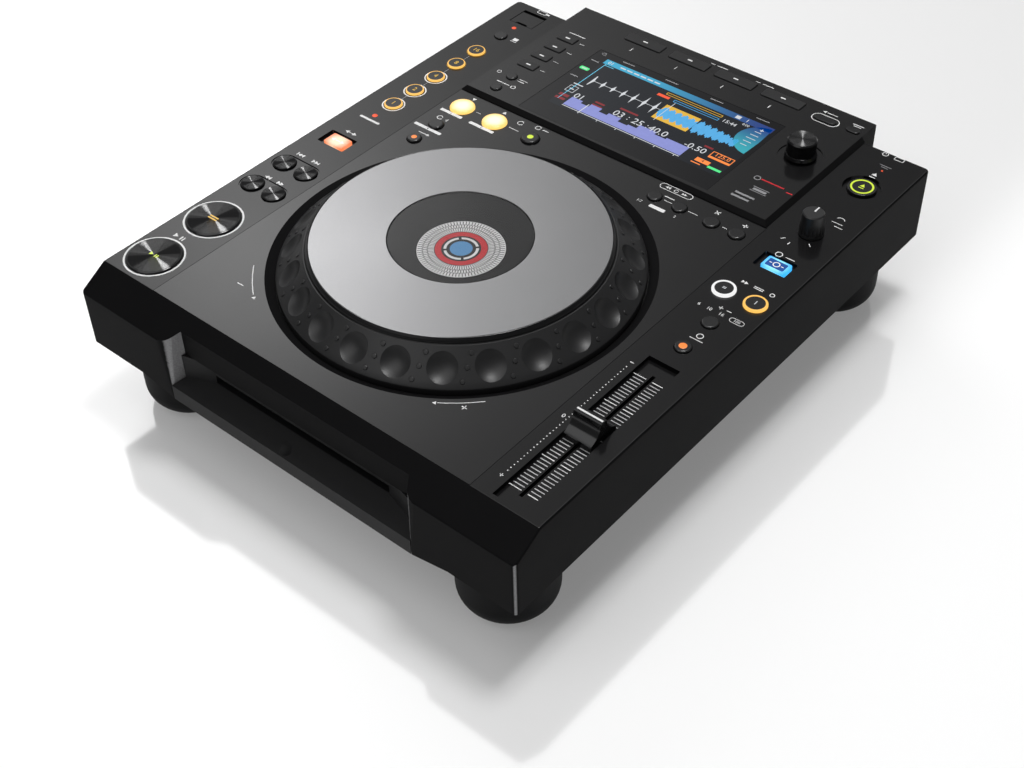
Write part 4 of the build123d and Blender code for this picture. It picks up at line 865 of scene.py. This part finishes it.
def label_print():
    """Rays, a red ring, a dark ground with four arcs, and a round middle."""
    z = LABEL_TABLE + 0.45
    rays = []
    for i in range(RAYS):
        for start, end, shift in RAY_ROWS:
            turn, radius = 2 * math.pi * (i + shift) / RAYS, (start + end) / 2
            width = 0.2 + 0.012 * radius
            rays.append(bar(*on_wheel(radius, turn, z), end - start, width, math.degrees(turn), thick=0.02))
    label_part("label_rays", joined(rays), dark_ink)
    label_part("label_red_ring", band(JOG_X, JOG_Y, z, 10.6, 14.2, thick=0.06, corners=96), red_ink)
    edges = [band(JOG_X, JOG_Y, z, 14.1, 14.5, thick=0.07, corners=96),
             wheel_turned([(10.7, z - SUNK), (10.7, z + 0.07), (1.0, z + 0.07)], 72)]
    label_part("label_ground", joined(edges), dark_ink)
    quarters = [(90 * i + 49, 90 * i + 131) for i in range(4)]
    arcs = [arc(JOG_X, JOG_Y, z + 0.07, 8.7, 1.5, start, end, thick=0.04) for start, end in quarters]
    label_part("label_arcs", joined(arcs), white_ink)
    label_part("label_centre", wheel_turned([(6.1, z), (6.1, z + 0.12), (0.5, z + 0.12)], 64), blue_ink)


def clear_pane():
    """Clear pane: it mirrors at a slant and is see-through elsewhere."""
    finish = Finish("clear_pane", (0.0, 0.0, 0.0), 0.14, Specular_IOR_Level=1.0)
    gloss = finish.node("ShaderNodeBsdfGlossy", inputs={"Color": (1, 1, 1), "Roughness": 0.12})
    clear = finish.node("ShaderNodeBsdfTransparent", inputs={"Color": (0.92, 0.92, 0.92)})
    outside = 1 - finish.node("ShaderNodeNewGeometry", output="Backfacing")
    sheen = finish.node("ShaderNodeFresnel", inputs={"IOR": 1.4}) * outside
    finish.show(finish.node("ShaderNodeMixShader", inputs={0: sheen, 1: clear, 2: gloss}))
    return finish


def build_jog():
    wheel = finished(wheel_body(), "jog_wheel_body", "jog_wheel", jog_black, crease=18)
    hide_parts("jog_wheel")
    finished(wheel_studs(), "jog_studs", "jog_wheel", jog_black)
    finished(top_disc(), "jog_top_disc", "jog_wheel", disc_silver)
    finished(rim_ring(), "jog_rim", "jog_wheel", rim_black)
    label_bowl()
    label_print()


# ---------------------------------------------------------------- lamps round the buttons
RIM_CHAMFER = 0.52            # how far a cap's own edge lies outside its flat top


def on_cap(node, name, piece, finish):
    """A piece that moves with its button."""
    return finished(piece, name, node, finish)


def lit_ring(node, name, finish, wide):
    """A glowing rim round a cap, level with it."""
    x, y, top, half = cap(node)
    outer = half + RIM_CHAMFER
    section = [(outer + 0.02, DECK + 0.1), (outer + 0.02, top - 0.3), (outer - 0.2, top + 0.02),
               (outer - wide, top + 0.05), (outer - wide, DECK + 0.1)]
    on_cap(node, name, turned(x, y, section, 48, ring=True), finish)


def cap_number(node, name, text, height, finish):
    x, y, top, _ = cap(node)
    on_cap(node, name, number(text, x, y, top, height), finish)


def cap_light(node, name, finish, radius):
    """A small lens in the middle of a cap."""
    x, y, top, _ = cap(node)
    on_cap(node, name, dome(x, y, top, radius, 0.12), finish)


def lens_glow(node, name, reach, centre, edge, strength):
    """Light behind a frosted cap: brightest in its middle."""
    x, y, _, _ = cap(node)
    finish = Finish(name, (0.02, 0.02, 0.02), 0.25, Emission_Strength=strength)
    away = finish.away(x, y)[2] / (reach * MM)
    cloud = finish.noise(3, detail=3)
    finish.feed("Emission Color", finish.mix((away + (cloud - 0.5) * 0.3).step(0.3, 1.05), centre, edge))
    paint(finish, node)


def build_play_and_cue():
    for node in ("play_pause_button", "cue_button"):
        x, y, top, _ = cap(node)
        finished(band(x, y, DECK, 15.95, 17.0, corners=96), f"{node}_ring", "player", white_ink)
    x, y, top, _ = cap("play_pause_button")
    on_cap("play_pause_button", "play_sign", joined(play_sign(x, y, top, 2.3)), lime)
    x, y, top, _ = cap("cue_button")
    lines = bars(top, (x, y + 0.9, 6.4, 0.9), (x, y - 0.9, 6.4, 0.9))
    on_cap("cue_button", "cue_sign", joined(lines), gold)


def build_beats():
    """Five small caps in lit rims, the first three in a white ring and the others in a fine gold one."""
    for i, node in enumerate(BEATS):
        lit_ring(node, f"beat_light_{i + 1}", amber, 0.75)
        cap_number(node, f"beat_number_{i + 1}", str(2 ** i), 3.4, gold)
        x, y, _, _ = cap(node)
        radius, half_line, ink = (6.75, 0.4, white_ink) if i < 3 else (6.0, 0.12, gold_ink)
        ring = band(x, y, DECK, radius - half_line, radius + half_line)
        finished(ring, f"beat_ring_{i + 1}", "player", ink)
    between = [(cap(front)[1] + cap(back)[1]) / 2 for front, back in zip(BEATS, BEATS[1:])]
    links = bars(DECK, *[(LEFT_STRIP, y, 0.4, 5.2) for y in between])
    finished(joined(links), "beat_links", "player", grey_ink)


def build_round_lamps():
    """Sync, master and eject, and the small lenses in caps and in the deck."""
    lit_ring("sync_button", "sync_light", white_light, 1.5)
    lit_ring("master_button", "master_light", amber, 1.3)
    cap_number("sync_button", "sync_button_mark", "=", 3.2, dim_white)
    cap_number("master_button", "master_button_mark", "1", 3.2, dim_white)
    x, y, top, _ = cap("eject_button")
    on_cap("eject_button", "eject_ring", band(x, y, top, 5.6, 6.7), lime)
    sign = [arrow(x, y + 0.7, top, 3.0, 90), bar(x, y - 1.5, top, 3.2, 0.6)]
    on_cap("eject_button", "eject_sign", joined(sign), lime)
    cap_light("slip_button", "slip_light", orange, 1.7)
    cap_light("master_tempo_button", "master_tempo_light", orange, 2.2)
    cap_light("reloop_button", "reloop_light", lime, 1.9)
    lamps = [("play_standby_lamp", LEFT_STRIP - 0.6, 17.9, 1.7), ("usb_lamp", -132.6, 146.5, 1.5),
             ("standby_lamp", 131.8, 157.1, 0.6)]
    for name, x, y, radius in lamps:
        finished(dome(x, y, DECK, radius, 0.35), name, "player", red)


def build_glowing_caps():
    """The two loop buttons, and the two oblong buttons whose faces are lit windows."""
    for node in ("loop_in_button", "loop_out_button"):
        lens_glow(node, f"{node}_glow", 7.6, (1.0, 0.94, 0.66), (1.0, 0.62, 0.16), 1.25)
    node = "direction_button"
    x, y, top, _ = cap(node)
    lens_glow(node, "direction_glow", 8.0, (1.0, 0.78, 0.55), (0.9, 0.22, 0.08), 1.15)
    mark = [arrow(x + 3.2, y, top, 3.0), arrow(x - 3.2, y, top, 3.0, 180), bar(x, y, top, 3.6, 0.9)]
    on_cap(node, "direction_mark", joined(mark), white_light)
    node = "jog_mode_button"
    x, y, top, _ = cap(node)
    lens_glow(node, "jog_mode_glow", 8.0, (0.30, 0.80, 1.0), (0.04, 0.42, 0.95), 1.3)
    on_cap(node, "jog_mode_pane", bar(x, y, top, 11.4, 6.4, rounded=0.12), deep_blue)
    top += PRINT
    sign = [small_ring(x, y, top, 1.5, 2.1)] + bars(top, (x - 3.6, y, 1.6, 0.5), (x + 3.6, y, 1.6, 0.5))
    on_cap(node, "jog_mode_sign", joined(sign), white_light)


# ---------------------------------------------------------------- printed signs
# text, x, y and length of the white fields by the loop buttons
LOOP_FIELDS = (("4", -99.5, 27.6, 20.6), ("1", -99.1, 48.2, 16.6), ("2", -75.3, 48.2, 18.6))
RANGES_Y = -2.6               # row of the tempo ranges
FADER_LOW, FADER_HIGH, FADER_STEP, FADER_DOTS = -159.5, -63.2, 2.4, 39
SLOW_RADIUS, FAST_RADIUS = 111.6, 108.2     # of the two arrows beside the wheel


def print_signs(name, pieces, ink=white_ink):
    finished(joined(pieces), name, "player", ink)


def strip_signs():
    """Signs beside the buttons of the left strip."""
    x = LEFT_STRIP
    print_signs("play_label", play_sign(x - 2.5, -134.8, DECK, 3.0))
    print_signs("search_label", back_and_on(x, -65.8, DECK, 4.6, 2.8))
    print_signs("track_label", back_and_on(x, -38.6, DECK, 5.4, 2.8, stop=True))
    heads = [arrow(x + 3.6, -4.2, DECK, 3.0), arrow(x - 1.6, -4.2, DECK, 3.0, 180)]
    print_signs("direction_label", heads + bars(DECK, (x + 1.0, -4.2, 4.0, 0.5)))
    print_signs("beat_bar", bars(DECK, (x, 12.7, 15.5, 1.7), rounded=0.3))


def loop_signs():
    """Signs beside the loop buttons, with white fields that hold a number."""
    print_signs("slip_label", bars(DECK, (-98.5, 22.2, 6.4, 0.5)) + [arrow(-94.6, 22.2, DECK, 2.2)])
    print_signs("beat_loop_label", [*loop_sign(-101.6, 40.8, DECK, 3.4), number("4", -96.2, 40.8, DECK, 3.0)])
    fields = [(x, y, length, 2.3) for _, x, y, length in LOOP_FIELDS]
    print_signs("loop_bars", bars(DECK, *fields, rounded=0.25))
    digits = [(text, x, y, 1.7) for text, x, y, _ in LOOP_FIELDS]
    print_signs("loop_bar_signs", numbers(DECK + PRINT, *digits), dark_ink)
    heads = [arrow(-98.0, 68.2, DECK, 3.0, -90), arrow(-74.0, 68.2, DECK, 3.0, 90)]
    turns = loop_sign(-59.8, 66.2, DECK, 3.6) + loop_sign(-48.4, 68.8, DECK, 3.4)
    print_signs("loop_label", heads + turns + bars(DECK, (-42.6, 68.8, 4.4, 0.6)))
    print_signs("loop_dashes", bars(DECK, (-86.4, 58.6, 3.6, 0.4), (-58.9, 58.6, 7.2, 0.4)))


def usb_signs():
    """Signs of the socket and of its stop button."""
    plug = frame_line(-130.2, 172.4, DECK, 6.4, 3.0, 0.45)
    print_signs("usb_label", plug + bars(DECK, (-125.4, 172.4, 2.6, 1.6)))
    print_signs("usb_stop_label", bars(DECK, (-122.4, 136.0, 3.6, 3.0), (-122.4, 133.4, 4.6, 0.5)))


def jog_signs():
    """The arrows beside the wheel that show which way slows and which way hastens."""
    pieces = [arc(JOG_X, JOG_Y, DECK, SLOW_RADIUS, 0.45, 219.4, 233.6),
              arc(JOG_X, JOG_Y, DECK, FAST_RADIUS, 0.45, -55.2, -40.5)]
    for radius, angle, ahead in ((SLOW_RADIUS, 234, 90), (FAST_RADIUS, -55.6, -90)):
        pieces.append(arrow(*on_wheel(radius, math.radians(angle), DECK), 2.4, angle + ahead))
    pieces += bars(DECK, (-79.4, -141.4, 4.2, 0.6)) + plus_sign(74.6, -137.0, DECK, 3.2)
    print_signs("jog_arrows", pieces)


def centre_signs():
    """Signs of the call, delete and memory buttons."""
    x, y = 52.1, 68.8
    print_signs("call_box", oval_line(x, y, DECK, 21.6, 4.6, 0.4))
    print_signs("call_label", back_and_on(x, y, DECK, 5.3, 2.0) + loop_sign(x, y, DECK, 2.4)
                + bars(DECK, (52.9, 61.3, 6.6, 0.6)))
    print_signs("call_bar", bars(DECK, (52.9, 49.2, 10.4, 2.6), rounded=0.25))
    print_signs("call_halves", numbers(DECK, ("1/2", 40.8, 49.2, 2.0), ("2", 65.0, 49.2, 2.0)))
    dashes = [(54.2, 57.9, 5.4, 0.4), (71.2, 57.8, 6.6, 0.4), (92.2, 57.9, 3.0, 0.4)]
    print_signs("call_dashes", bars(DECK, *dashes))
    print_signs("delete_label", cross_sign(81.6, 66.8, DECK, 3.2))
    print_signs("memory_label", plus_sign(100.2, 66.2, DECK, 3.4))


def right_rear_signs():
    """Signs of the power lamp, eject, the small knob and the wheel's mode."""
    x = FADER_X
    print_signs("eject_label", [arrow(x - 0.8, 151.2, DECK, 3.4, 90), bar(x - 0.8, 148.4, DECK, 3.8, 0.7)])
    power = [arc(125.0, 172.6, DECK, 1.7, 0.45, 120, 420, corners=48), bar(125.0, 174.2, DECK, 0.45, 2.2)]
    print_signs("power_sign", power + frame_line(134.0, 172.8, DECK, 5.6, 3.0, 0.4))
    print_signs("standby_label", bars(DECK, (x, 162.2, 7.4, 0.5), (x, 160.6, 4.2, 0.4)), grey_ink)
    print_signs("knob_ticks", bars(DECK, (121.8, 70.4, 2.6, 0.5, 50), (126.7, 68.4, 2.2, 0.5, 80),
                                   (136.4, 73.8, 2.6, 0.5, -45), (136.6, 85.1, 2.2, 0.5, 10)))
    swing = [arc(137.6, 102.6, DECK, 2.6, 0.5, 20, 160, corners=48)]
    print_signs("knob_label", swing + bars(DECK, (137.6, 99.6, 6.6, 0.5), (140.2, 96.6, 5.2, 0.5)))
    disc = [arc(x - 3.4, 57.2, DECK, 1.9, 0.5, 0, 359, corners=48)]
    print_signs("jog_mode_label", disc + bars(DECK, (x + 3.6, 57.2, 5.6, 0.5)))


def right_front_signs():
    """Signs of sync, master and the tempo buttons."""
    x = FADER_X
    print_signs("sync_label", double_arrow(x - 4.6, 26.3, DECK, 2.4, 0)
                + bars(DECK, (x + 4.2, 26.9, 5.8, 0.5), (x + 4.2, 25.7, 5.8, 0.5))
                + [small_ring(x + 12.6, 26.3, DECK, 1.0, 1.5)])
    print_signs("tempo_label", plus_sign(x - 2.4, 1.6, DECK, 2.6) + bars(DECK, (x + 2.6, 1.6, 2.8, 0.55)))
    ranges = [(text, place, RANGES_Y, 2.3) for text, place in (("6", 118.0), ("10", 124.4), ("16", 131.8))]
    print_signs("tempo_ranges", numbers(DECK, *ranges) + oval_line(141.4, RANGES_Y, DECK, 8.4, 3.4, 0.3))
    print_signs("wide_range", numbers(DECK, ("100", 141.4, RANGES_Y, 1.9)))
    ring = [small_ring(x + 1.8, -23.2, DECK, 1.5, 2.0)]
    print_signs("master_tempo_label", ring + bars(DECK, (x + 1.8, -26.6, 8.0, 0.5)))


def fader_signs():
    """Fine ticks on both sides of the fader's groove, every tenth one longer, dots beside the tray, and
    the white line on the fader's cap."""
    steps = int((FADER_HIGH - FADER_LOW) / FADER_STEP)
    for side, name in ((-1, "left"), (1, "right")):
        tick = bar(FADER_X + side * 5.2, FADER_LOW, FADER_TRAY, 6.4, 0.5)
        print_signs(f"fader_fine_{name}", [in_a_row(tick, steps + 1, FADER_STEP)], light_ink)
        tick = bar(FADER_X + side * 5.9, FADER_LOW, FADER_TRAY + 0.02, 8.0, 0.5)
        print_signs(f"fader_long_{name}", [in_a_row(tick, steps // 10 + 1, 10 * FADER_STEP)])
    dot = bar(117.9, -155.7, DECK, 0.6, 0.6)
    print_signs("fader_dots", [in_a_row(dot, FADER_DOTS, FADER_STEP)])
    print_signs("fader_ends", plus_sign(117.5, -159.6, DECK, 2.2) + bars(DECK, (118.2, -60.4, 2.2, 0.5))
                + numbers(DECK, ("0", 115.4, -111.2, 2.6)))
    y, top = middle("tempo_fader").y, high("tempo_fader").z
    finished(bar(FADER_X, y, top, 15.4, 1.1), "fader_line", "tempo_fader", white_ink)


def knob_line():
    """The white line on the small knob."""
    spot, top = middle("vinyl_speed_knob"), high("vinyl_speed_knob").z
    line = bar(spot.x, spot.y + 3.0, top - PRINT, 0.9, 5.0)
    finished(line, "speed_knob_line", "vinyl_speed_knob", white_ink)


# ---------------------------------------------------------------- display block
KEY_NAMES_Y = 186.6           # row of dashes behind the rear keys
SCREEN_LEFT, SCREEN_RIGHT, SCREEN_FRONT, SCREEN_REAR = -59.5, 64.0, 91.3, 150.5
SCREEN_LENGTH, SCREEN_WIDTH = SCREEN_RIGHT - SCREEN_LEFT, SCREEN_REAR - SCREEN_FRONT
PICTURE = GLASS + 0.01        # height of the picture, just over the lit field
HEADER_Y = SCREEN_REAR - 2.7
TRACK_STEPS = [(0, 9.4), (8, 7.0), (14, 10.2), (22, 6.6), (28, 9.0), (37, 5.4), (44, 6.6), (50, 10.6),
               (62, 8.2), (70, 9.6), (86, 9.6)]     # where a passage of the track starts, and how loud it is


def key_dashes():
    """A dash on each display key, and one beside it on the block."""
    beside = []
    for node in SIDE_KEYS + TOP_KEYS:
        x, y, top, _ = cap(node)
        on_cap(node, f"{node}_dash", bar(x, y, top, 3.4, 1.1, rounded=0.3), white_ink)
        beside.append((x + 11.4, y, 3.6, 0.35) if node in SIDE_KEYS else (x - 2.4, 168.6, 0.5, 3.4))
    names = [(x, KEY_NAMES_Y, length, width) for x, length, width in
             ((-5.0, 3.0, 0.5), (2.0, 7.6, 0.6), (28.0, 3.0, 0.5), (35.4, 8.0, 0.6))]
    print_signs("display_dashes", bars(BLOCK_TOP, *beside, *names, (-92.0, 160.8, 13.0, 0.6)))


def display_signs():
    """Outlines, rings and dashes on the display block."""
    z = BLOCK_TOP
    key_dashes()
    print_signs("back_outline", oval_line(81.5, 177.2, z, 17.6, 8.2, 0.5))
    print_signs("back_label", [arrow(77.0, 184.4, z, 2.4, 180), bar(82.0, 184.4, z, 7.0, 0.6)])
    print_signs("tag_label", bars(z, (100.0, 184.0, 7.4, 0.6), (100.0, 182.4, 5.0, 0.5)))
    print_signs("time_label", [small_ring(-103.6, 98.1, z, 1.1, 1.5)]
                + bars(z, (-84.6, 98.8, 6.4, 0.5), (-85.2, 96.8, 5.0, 0.5)))
    print_signs("quantize_label", [bar(-93.4, 89.6, z, 10.0, 0.6), small_ring(-85.4, 89.6, z, 1.2, 1.7)])
    print_signs("format_marks", [small_ring(82.4, 104.2, z, 1.5, 2.1)]
                + bars(z, (90.2, 92.6, 10.4, 0.5), (90.2, 96.6, 10.4, 0.5), (90.2, 94.6, 8.6, 1.9),
                       (86.0, 86.2, 12.6, 1.5), (85.0, 82.8, 11.6, 1.5)), grey_ink)
    print_signs("format_red", bars(z, (92.4, 104.6, 15.0, 1.0), (104.4, 102.8, 4.0, 1.0)), red_ink)


def lit(name, pieces, finish):
    finished(joined(pieces), name, "player", finish)


def pixels(*rows, z=PICTURE):
    return bars(z, *rows, thick=PIXEL)


def shaded_field(name, axis, start, reach, first, second):
    """A lit field whose colour changes along an axis, from start over reach millimetres."""
    finish = Finish(name, (0.02, 0.02, 0.02), 0.2, Emission_Strength=0.9)
    share = (finish.parts(finish.place())[axis] / MM - start) / reach
    finish.feed("Emission Color", finish.mix(share.step(0.0, 1.0), first, second))
    return finish


def screen_ground():
    """The lit field of the screen, and the header that fades to the right."""
    x, y = (SCREEN_LEFT + SCREEN_RIGHT) / 2, (SCREEN_FRONT + SCREEN_REAR) / 2
    lit("screen_field", [bar(x, y, GLASS, SCREEN_LENGTH, SCREEN_WIDTH, thick=0.01)], night)
    start, reach = SCREEN_LEFT + 0.1 * SCREEN_LENGTH, 0.9 * SCREEN_LENGTH
    header = shaded_field("screen_header", 0, start, reach, (0.03, 0.42, 0.66), (0.0, 0.03, 0.22))
    lit("screen_header", pixels((x, SCREEN_REAR - 2.6, SCREEN_LENGTH, 5.2)), header)
    z = GLASS + PIXEL
    marks = [(SCREEN_LEFT + 14 + 5.2 * i, HEADER_Y, 4.0, 1.1) for i in range(6)]
    marks.append((SCREEN_RIGHT - 24, HEADER_Y, 3.4, 3.0))
    digits = (("01", SCREEN_LEFT + 4.6, HEADER_Y, 3.0), ("1", SCREEN_RIGHT - 17.6, HEADER_Y, 3.0))
    lit("screen_header_marks", bars(z, *marks) + numbers(z, *digits), dim_white)


def beat_heights(count, pulse, floor, peak):
    """A rhythm: narrow peaks at every pulse, with a ripple between them."""
    heights = []
    for i in range(count):
        beat = abs(math.cos(math.pi * i / pulse)) ** 40 * (0.75 + 0.25 * math.sin(0.9 * i))
        ripple = 0.5 + 0.5 * math.sin(1.7 * i) * math.sin(0.61 * i)
        heights.append(floor * (0.6 + 0.8 * ripple) + (peak - floor) * beat)
    return heights


def screen_waves():
    """The sound of the track: quiet beats, a marked loop and a loud passage."""
    z, y = PICTURE, 125.6
    low_y = y - 1.2
    lit("wave_quiet", [wave(SCREEN_LEFT + 7.0, y, z, 0.6, beat_heights(90, 13, 0.35, 15.0))], dim_white)
    lit("wave_loop_block", pixels((11.6, low_y, 25.0, 16.4)), gold)
    loud = [4 + 5.5 * abs(math.sin(0.37 * i)) + 3.5 * abs(math.sin(1.13 * i)) for i in range(46)]
    lit("wave_loop", [wave(-1.0, low_y, z + PIXEL, 0.55, loud)], sky_blue)
    fading = [1.2 * height * (1 - 0.008 * i) for i, height in enumerate(loud + loud[:8])]
    lit("wave_loud", [wave(24.4, low_y, z, 0.55, fading)], sky_blue)
    lit("wave_cursor", pixels((2.2, y, 0.35, 22.0), z=z + 2 * PIXEL), dim_white)
    lit("wave_boxes", frame_line(12.0, 142.4, z, 40.0, 2.0, 0.4, thick=PIXEL), gold)
    lit("wave_boxes_blue", frame_line(16.0, 138.4, z, 32.0, 2.0, 0.4, thick=PIXEL), sky_blue)
    lit("wave_flag", pixels((-8.0, 138.6, 8.6, 2.4)), red)
    lit("wave_time", numbers(z, ("15:44", 39.0, 139.6, 3.2), ("0:00", 48.0, 143.6, 2.0)), dim_white)


def screen_numbers():
    """The row of times, the tempo in its box and the small lit bars."""
    z, y = PICTURE, 106.4
    row = [("01", -47.4, y, 5.2), ("03", -17.4, y, 5.6), ("25", -3.4, y, 5.6), ("40.0", 11.4, y, 5.6),
           ("-0.50", 38.0, y, 5.2)]
    lit("screen_numbers", numbers(z, *row, thick=PIXEL), dim_white)
    dots = [(x, y + side, 0.7, 0.7) for x in (-10.4, 3.4) for side in (-1.2, 1.2)]
    lit("screen_dots", pixels(*dots), dim_white)
    lit("screen_mode_box", frame_line(-56.4, 110.6, z, 6.0, 6.6, 0.35, thick=PIXEL)
        + pixels((-56.4, 110.6, 3.0, 1.0), (-56.0, 116.6, 7.0, 0.9)), dim_white)
    names = [(-56.0, 102.6, 7.0, 2.6), (-56.0, 98.6, 7.0, 2.2), (-33.0, 108.4, 7.0, 1.6),
             (-33.0, 105.2, 7.0, 1.6), (-14.0, 112.2, 13.0, 1.6), (44.0, 111.6, 6.0, 1.6)]
    lit("screen_red_bars", pixels(*names), dim_red)
    tempo = frame_line(56.0, 107.0, z, 14.4, 6.4, 0.5, thick=PIXEL) + pixels((56.0, 104.6, 14.0, 1.6))
    lit("tempo_box", tempo + numbers(z, ("125.0", 56.0, 108.2, 3.4), thick=PIXEL), orange)
    lit("loop_size_box", pixels((49.0, 98.2, 9.4, 3.6), (46.6, 94.4, 6.4, 0.8)), orange)
    lit("loop_size", numbers(z + PIXEL, ("4", 49.0, 98.2, 2.6), thick=0.02), dark_ink)
    lit("phase_bar", pixels((58.6, 95.8, 9.0, 2.0)), green)


def screen_overview():
    """The whole track in small steps above a white line, and the marks below it."""
    y, start = 94.6, SCREEN_LEFT + 9.0
    steps = [(start + (begin + end) / 2, y + height / 2, end - begin, height)
             for (begin, height), (end, _) in zip(TRACK_STEPS, TRACK_STEPS[1:])]
    lit("overview", pixels(*steps), lavender)
    ticks = [(start + 13 + 14 * i, y - 1.9, 0.5, 1.2) for i in range(6)]
    here = pixels((start + 13, y + 3.6, 0.6, 10.6), z=PICTURE + PIXEL)
    lit("overview_line", pixels((start + 43, y - 0.9, 86, 0.5)) + here + pixels(*ticks), dim_white)


def screen_dial():
    """The quarter dial at the right edge that shows where the disc stands."""
    x, y, radius, z = SCREEN_RIGHT, 134.0, 15.0, PICTURE + PIXEL
    dial = shaded_field("screen_dial", 1, 119, 30, (0.02, 0.42, 0.50), (0.0, 0.04, 0.25))
    half = arc(x, y, PICTURE, radius / 2 + 0.2, radius, 92, 268, thick=PIXEL, corners=120)
    lit("screen_dial", [half], dial)
    ticks = [(x - 6.2, y - 7.6 + 3.8 * i, 6.4 - abs(i - 2), 0.5) for i in range(5)]
    lit("screen_dial_ticks", bars(z, *ticks, thick=0.02) + plus_sign(x - 5.4, y + 10.6, z, 2.6), dim_white)


def screen_menu():
    """Short dashes in a column left of the screen and in a row above it, one of them lit."""
    side = [(-64.6, 144.0 - 10.4 * i, 5.6, 0.9) for i in (0, 2)]
    above = [(-46.0 + 33.0 * i, 154.2, 9.0, 0.8) for i in range(4)]
    ring = [small_ring(-64.8, 154.0, GLASS, 1.0, 1.5)]
    print_signs("menu_dashes", bars(GLASS, *side, *above) + ring, grey_ink)
    lit("menu_lit", [bar(-64.6, 133.6, GLASS, 6.6, 3.2, rounded=0.3, thick=PIXEL)], green)
    lit("menu_lit_mark", [bar(-64.6, 133.6, GLASS + PIXEL, 4.0, 0.9, thick=0.02)], dim_white)
    edge = pixels((SCREEN_LEFT + 2.6, 121.6, 0.35, 48.0), (SCREEN_LEFT + 6.0, 144.0, 7.0, 0.35))
    lit("screen_edge", edge, cyan)


# ---------------------------------------------------------------- floor, light and air
FILL = 0.10                   # what the air gives to matt surfaces
SKY = 0.15                    # how bright a mirror shows the air overhead
GLOW = ((143.5, 38.0, 1.9, 250), (143.0, 34.5, 1.2, 40))     # azimuth, elevation, level and narrowness
CARD_EDGE = ((151.0, 38.5), (131.4, 52.5), (112.5, 36.5))    # azimuth and elevation of the card's corners
CARD_MIDDLE = (131.0, 47.0)
AIM = Vector((0, 0, 0.08))    # where the lamps point
FLOOR_MIRROR, FLOOR_LIFT = 0.24, 0.2     # share of gloss in the floor, and its own light


def toward(azimuth, elevation):
    """The direction at an azimuth and elevation in degrees."""
    turn, rise = math.radians(azimuth), math.radians(elevation)
    return Vector((math.cos(rise) * math.cos(turn), math.cos(rise) * math.sin(turn), math.sin(rise)))


def fill_the_air():
    """White at the horizon and dim above it. A mirror also shows a soft light and a white card."""
    world = bpy.data.worlds.new("studio")
    bpy.context.scene.world = world
    world.use_nodes = True
    air = Tree(world.node_tree)
    way = air.node("ShaderNodeTexCoord", output="Generated")

    def along(direction):
        values = {0: way, 1: direction}
        return air.node("ShaderNodeVectorMath", {"operation": "DOT_PRODUCT"}, values, output="Value")

    glow = 0.0
    for azimuth, elevation, strength, power in GLOW:
        glow = along(toward(azimuth, elevation)).or_more(0.0) ** power * strength + glow
    left, tip, right = (toward(*corner) for corner in CARD_EDGE)
    card = along(tip.cross(left).normalized()).step(0.0, 0.05)
    card = card.or_more(along(right.cross(tip).normalized()).step(0.0, 0.05))
    card = card * along(toward(*CARD_MIDDLE)).step(0.86, 0.92)
    level = (1 - air.parts(way)[2].step(0.0, 0.10) * (1 - SKY)).or_more(card)
    seen = air.seen()
    background = world.node_tree.nodes["Background"]
    air.plug(background.inputs["Color"], (1, 1, 1))
    air.plug(background.inputs["Strength"], seen * level + (1 - seen) * FILL + air.ray("Glossy") * glow)


def add_lamp(name, place, width, depth, radiance):
    """A rectangular lamp that faces the player. Radiance is what a mirror shows of it."""
    deselect()
    bpy.ops.object.light_add(type="AREA", location=place)
    lamp = bpy.context.object
    lamp.name = name
    lamp.rotation_mode = "QUATERNION"
    lamp.rotation_quaternion = (Vector(place) - AIM).to_track_quat("Z", "Y")
    lamp.data.shape = "RECTANGLE"
    lamp.data.size, lamp.data.size_y = width, depth
    lamp.data.energy = radiance * math.pi * width * depth
    return lamp


def hang_lamps():
    softbox = add_lamp("key_softbox", (-1.10, 0.70, 0.95), 0.9, 0.9, 2.6)
    softbox.visible_glossy = False
    add_lamp("ceiling_light", (-0.2, -0.7, 1.8), 1.4, 2.2, 1.3)
    add_lamp("top_lamp", (0.13, 0.24, 1.72), 0.38, 0.38, 32)


def floor_finish():
    """Pale floor with some gloss, lifted a little where the camera sees it."""
    finish = Finish("pale_floor", (0.86, 0.86, 0.86), 0.5, Specular_IOR_Level=0.0)
    gloss = finish.node("ShaderNodeBsdfGlossy", inputs={"Color": (1, 1, 1), "Roughness": 0.1})
    matt = Wire(finish, finish.shader.outputs[0])
    body = finish.node("ShaderNodeMixShader", inputs={0: FLOOR_MIRROR, 1: matt, 2: gloss})
    light = {"Color": (1, 1, 1), "Strength": finish.seen() * FLOOR_LIFT}
    own_light = finish.node("ShaderNodeEmission", inputs=light)
    finish.show(finish.node("ShaderNodeAddShader", inputs={0: body, 1: own_light}))
    return finish


def lay_floor():
    deselect()
    bpy.ops.mesh.primitive_plane_add(size=14, location=(0, 0, -0.0001))
    floor = bpy.context.object
    edit()
    bpy.ops.mesh.select_all(action="SELECT")
    bpy.ops.mesh.subdivide(number_cuts=2)
    leave()
    floor.name = "studio_floor"
    floor.data.materials.append(floor_finish().material)


# ---------------------------------------------------------------- making
bpy.context.scene.view_settings.view_transform = "Standard"
STEPS = (place_camera, fill_the_air, hang_lamps, lay_floor, paint_nodes, build_jog, build_play_and_cue,
         build_beats, build_round_lamps, build_glowing_caps, strip_signs, loop_signs, usb_signs, jog_signs,
         centre_signs, right_rear_signs, right_front_signs, fader_signs, display_signs, screen_ground,
         screen_waves, screen_numbers, screen_overview, screen_dial, screen_menu, knob_line)
for make in STEPS:
    make()
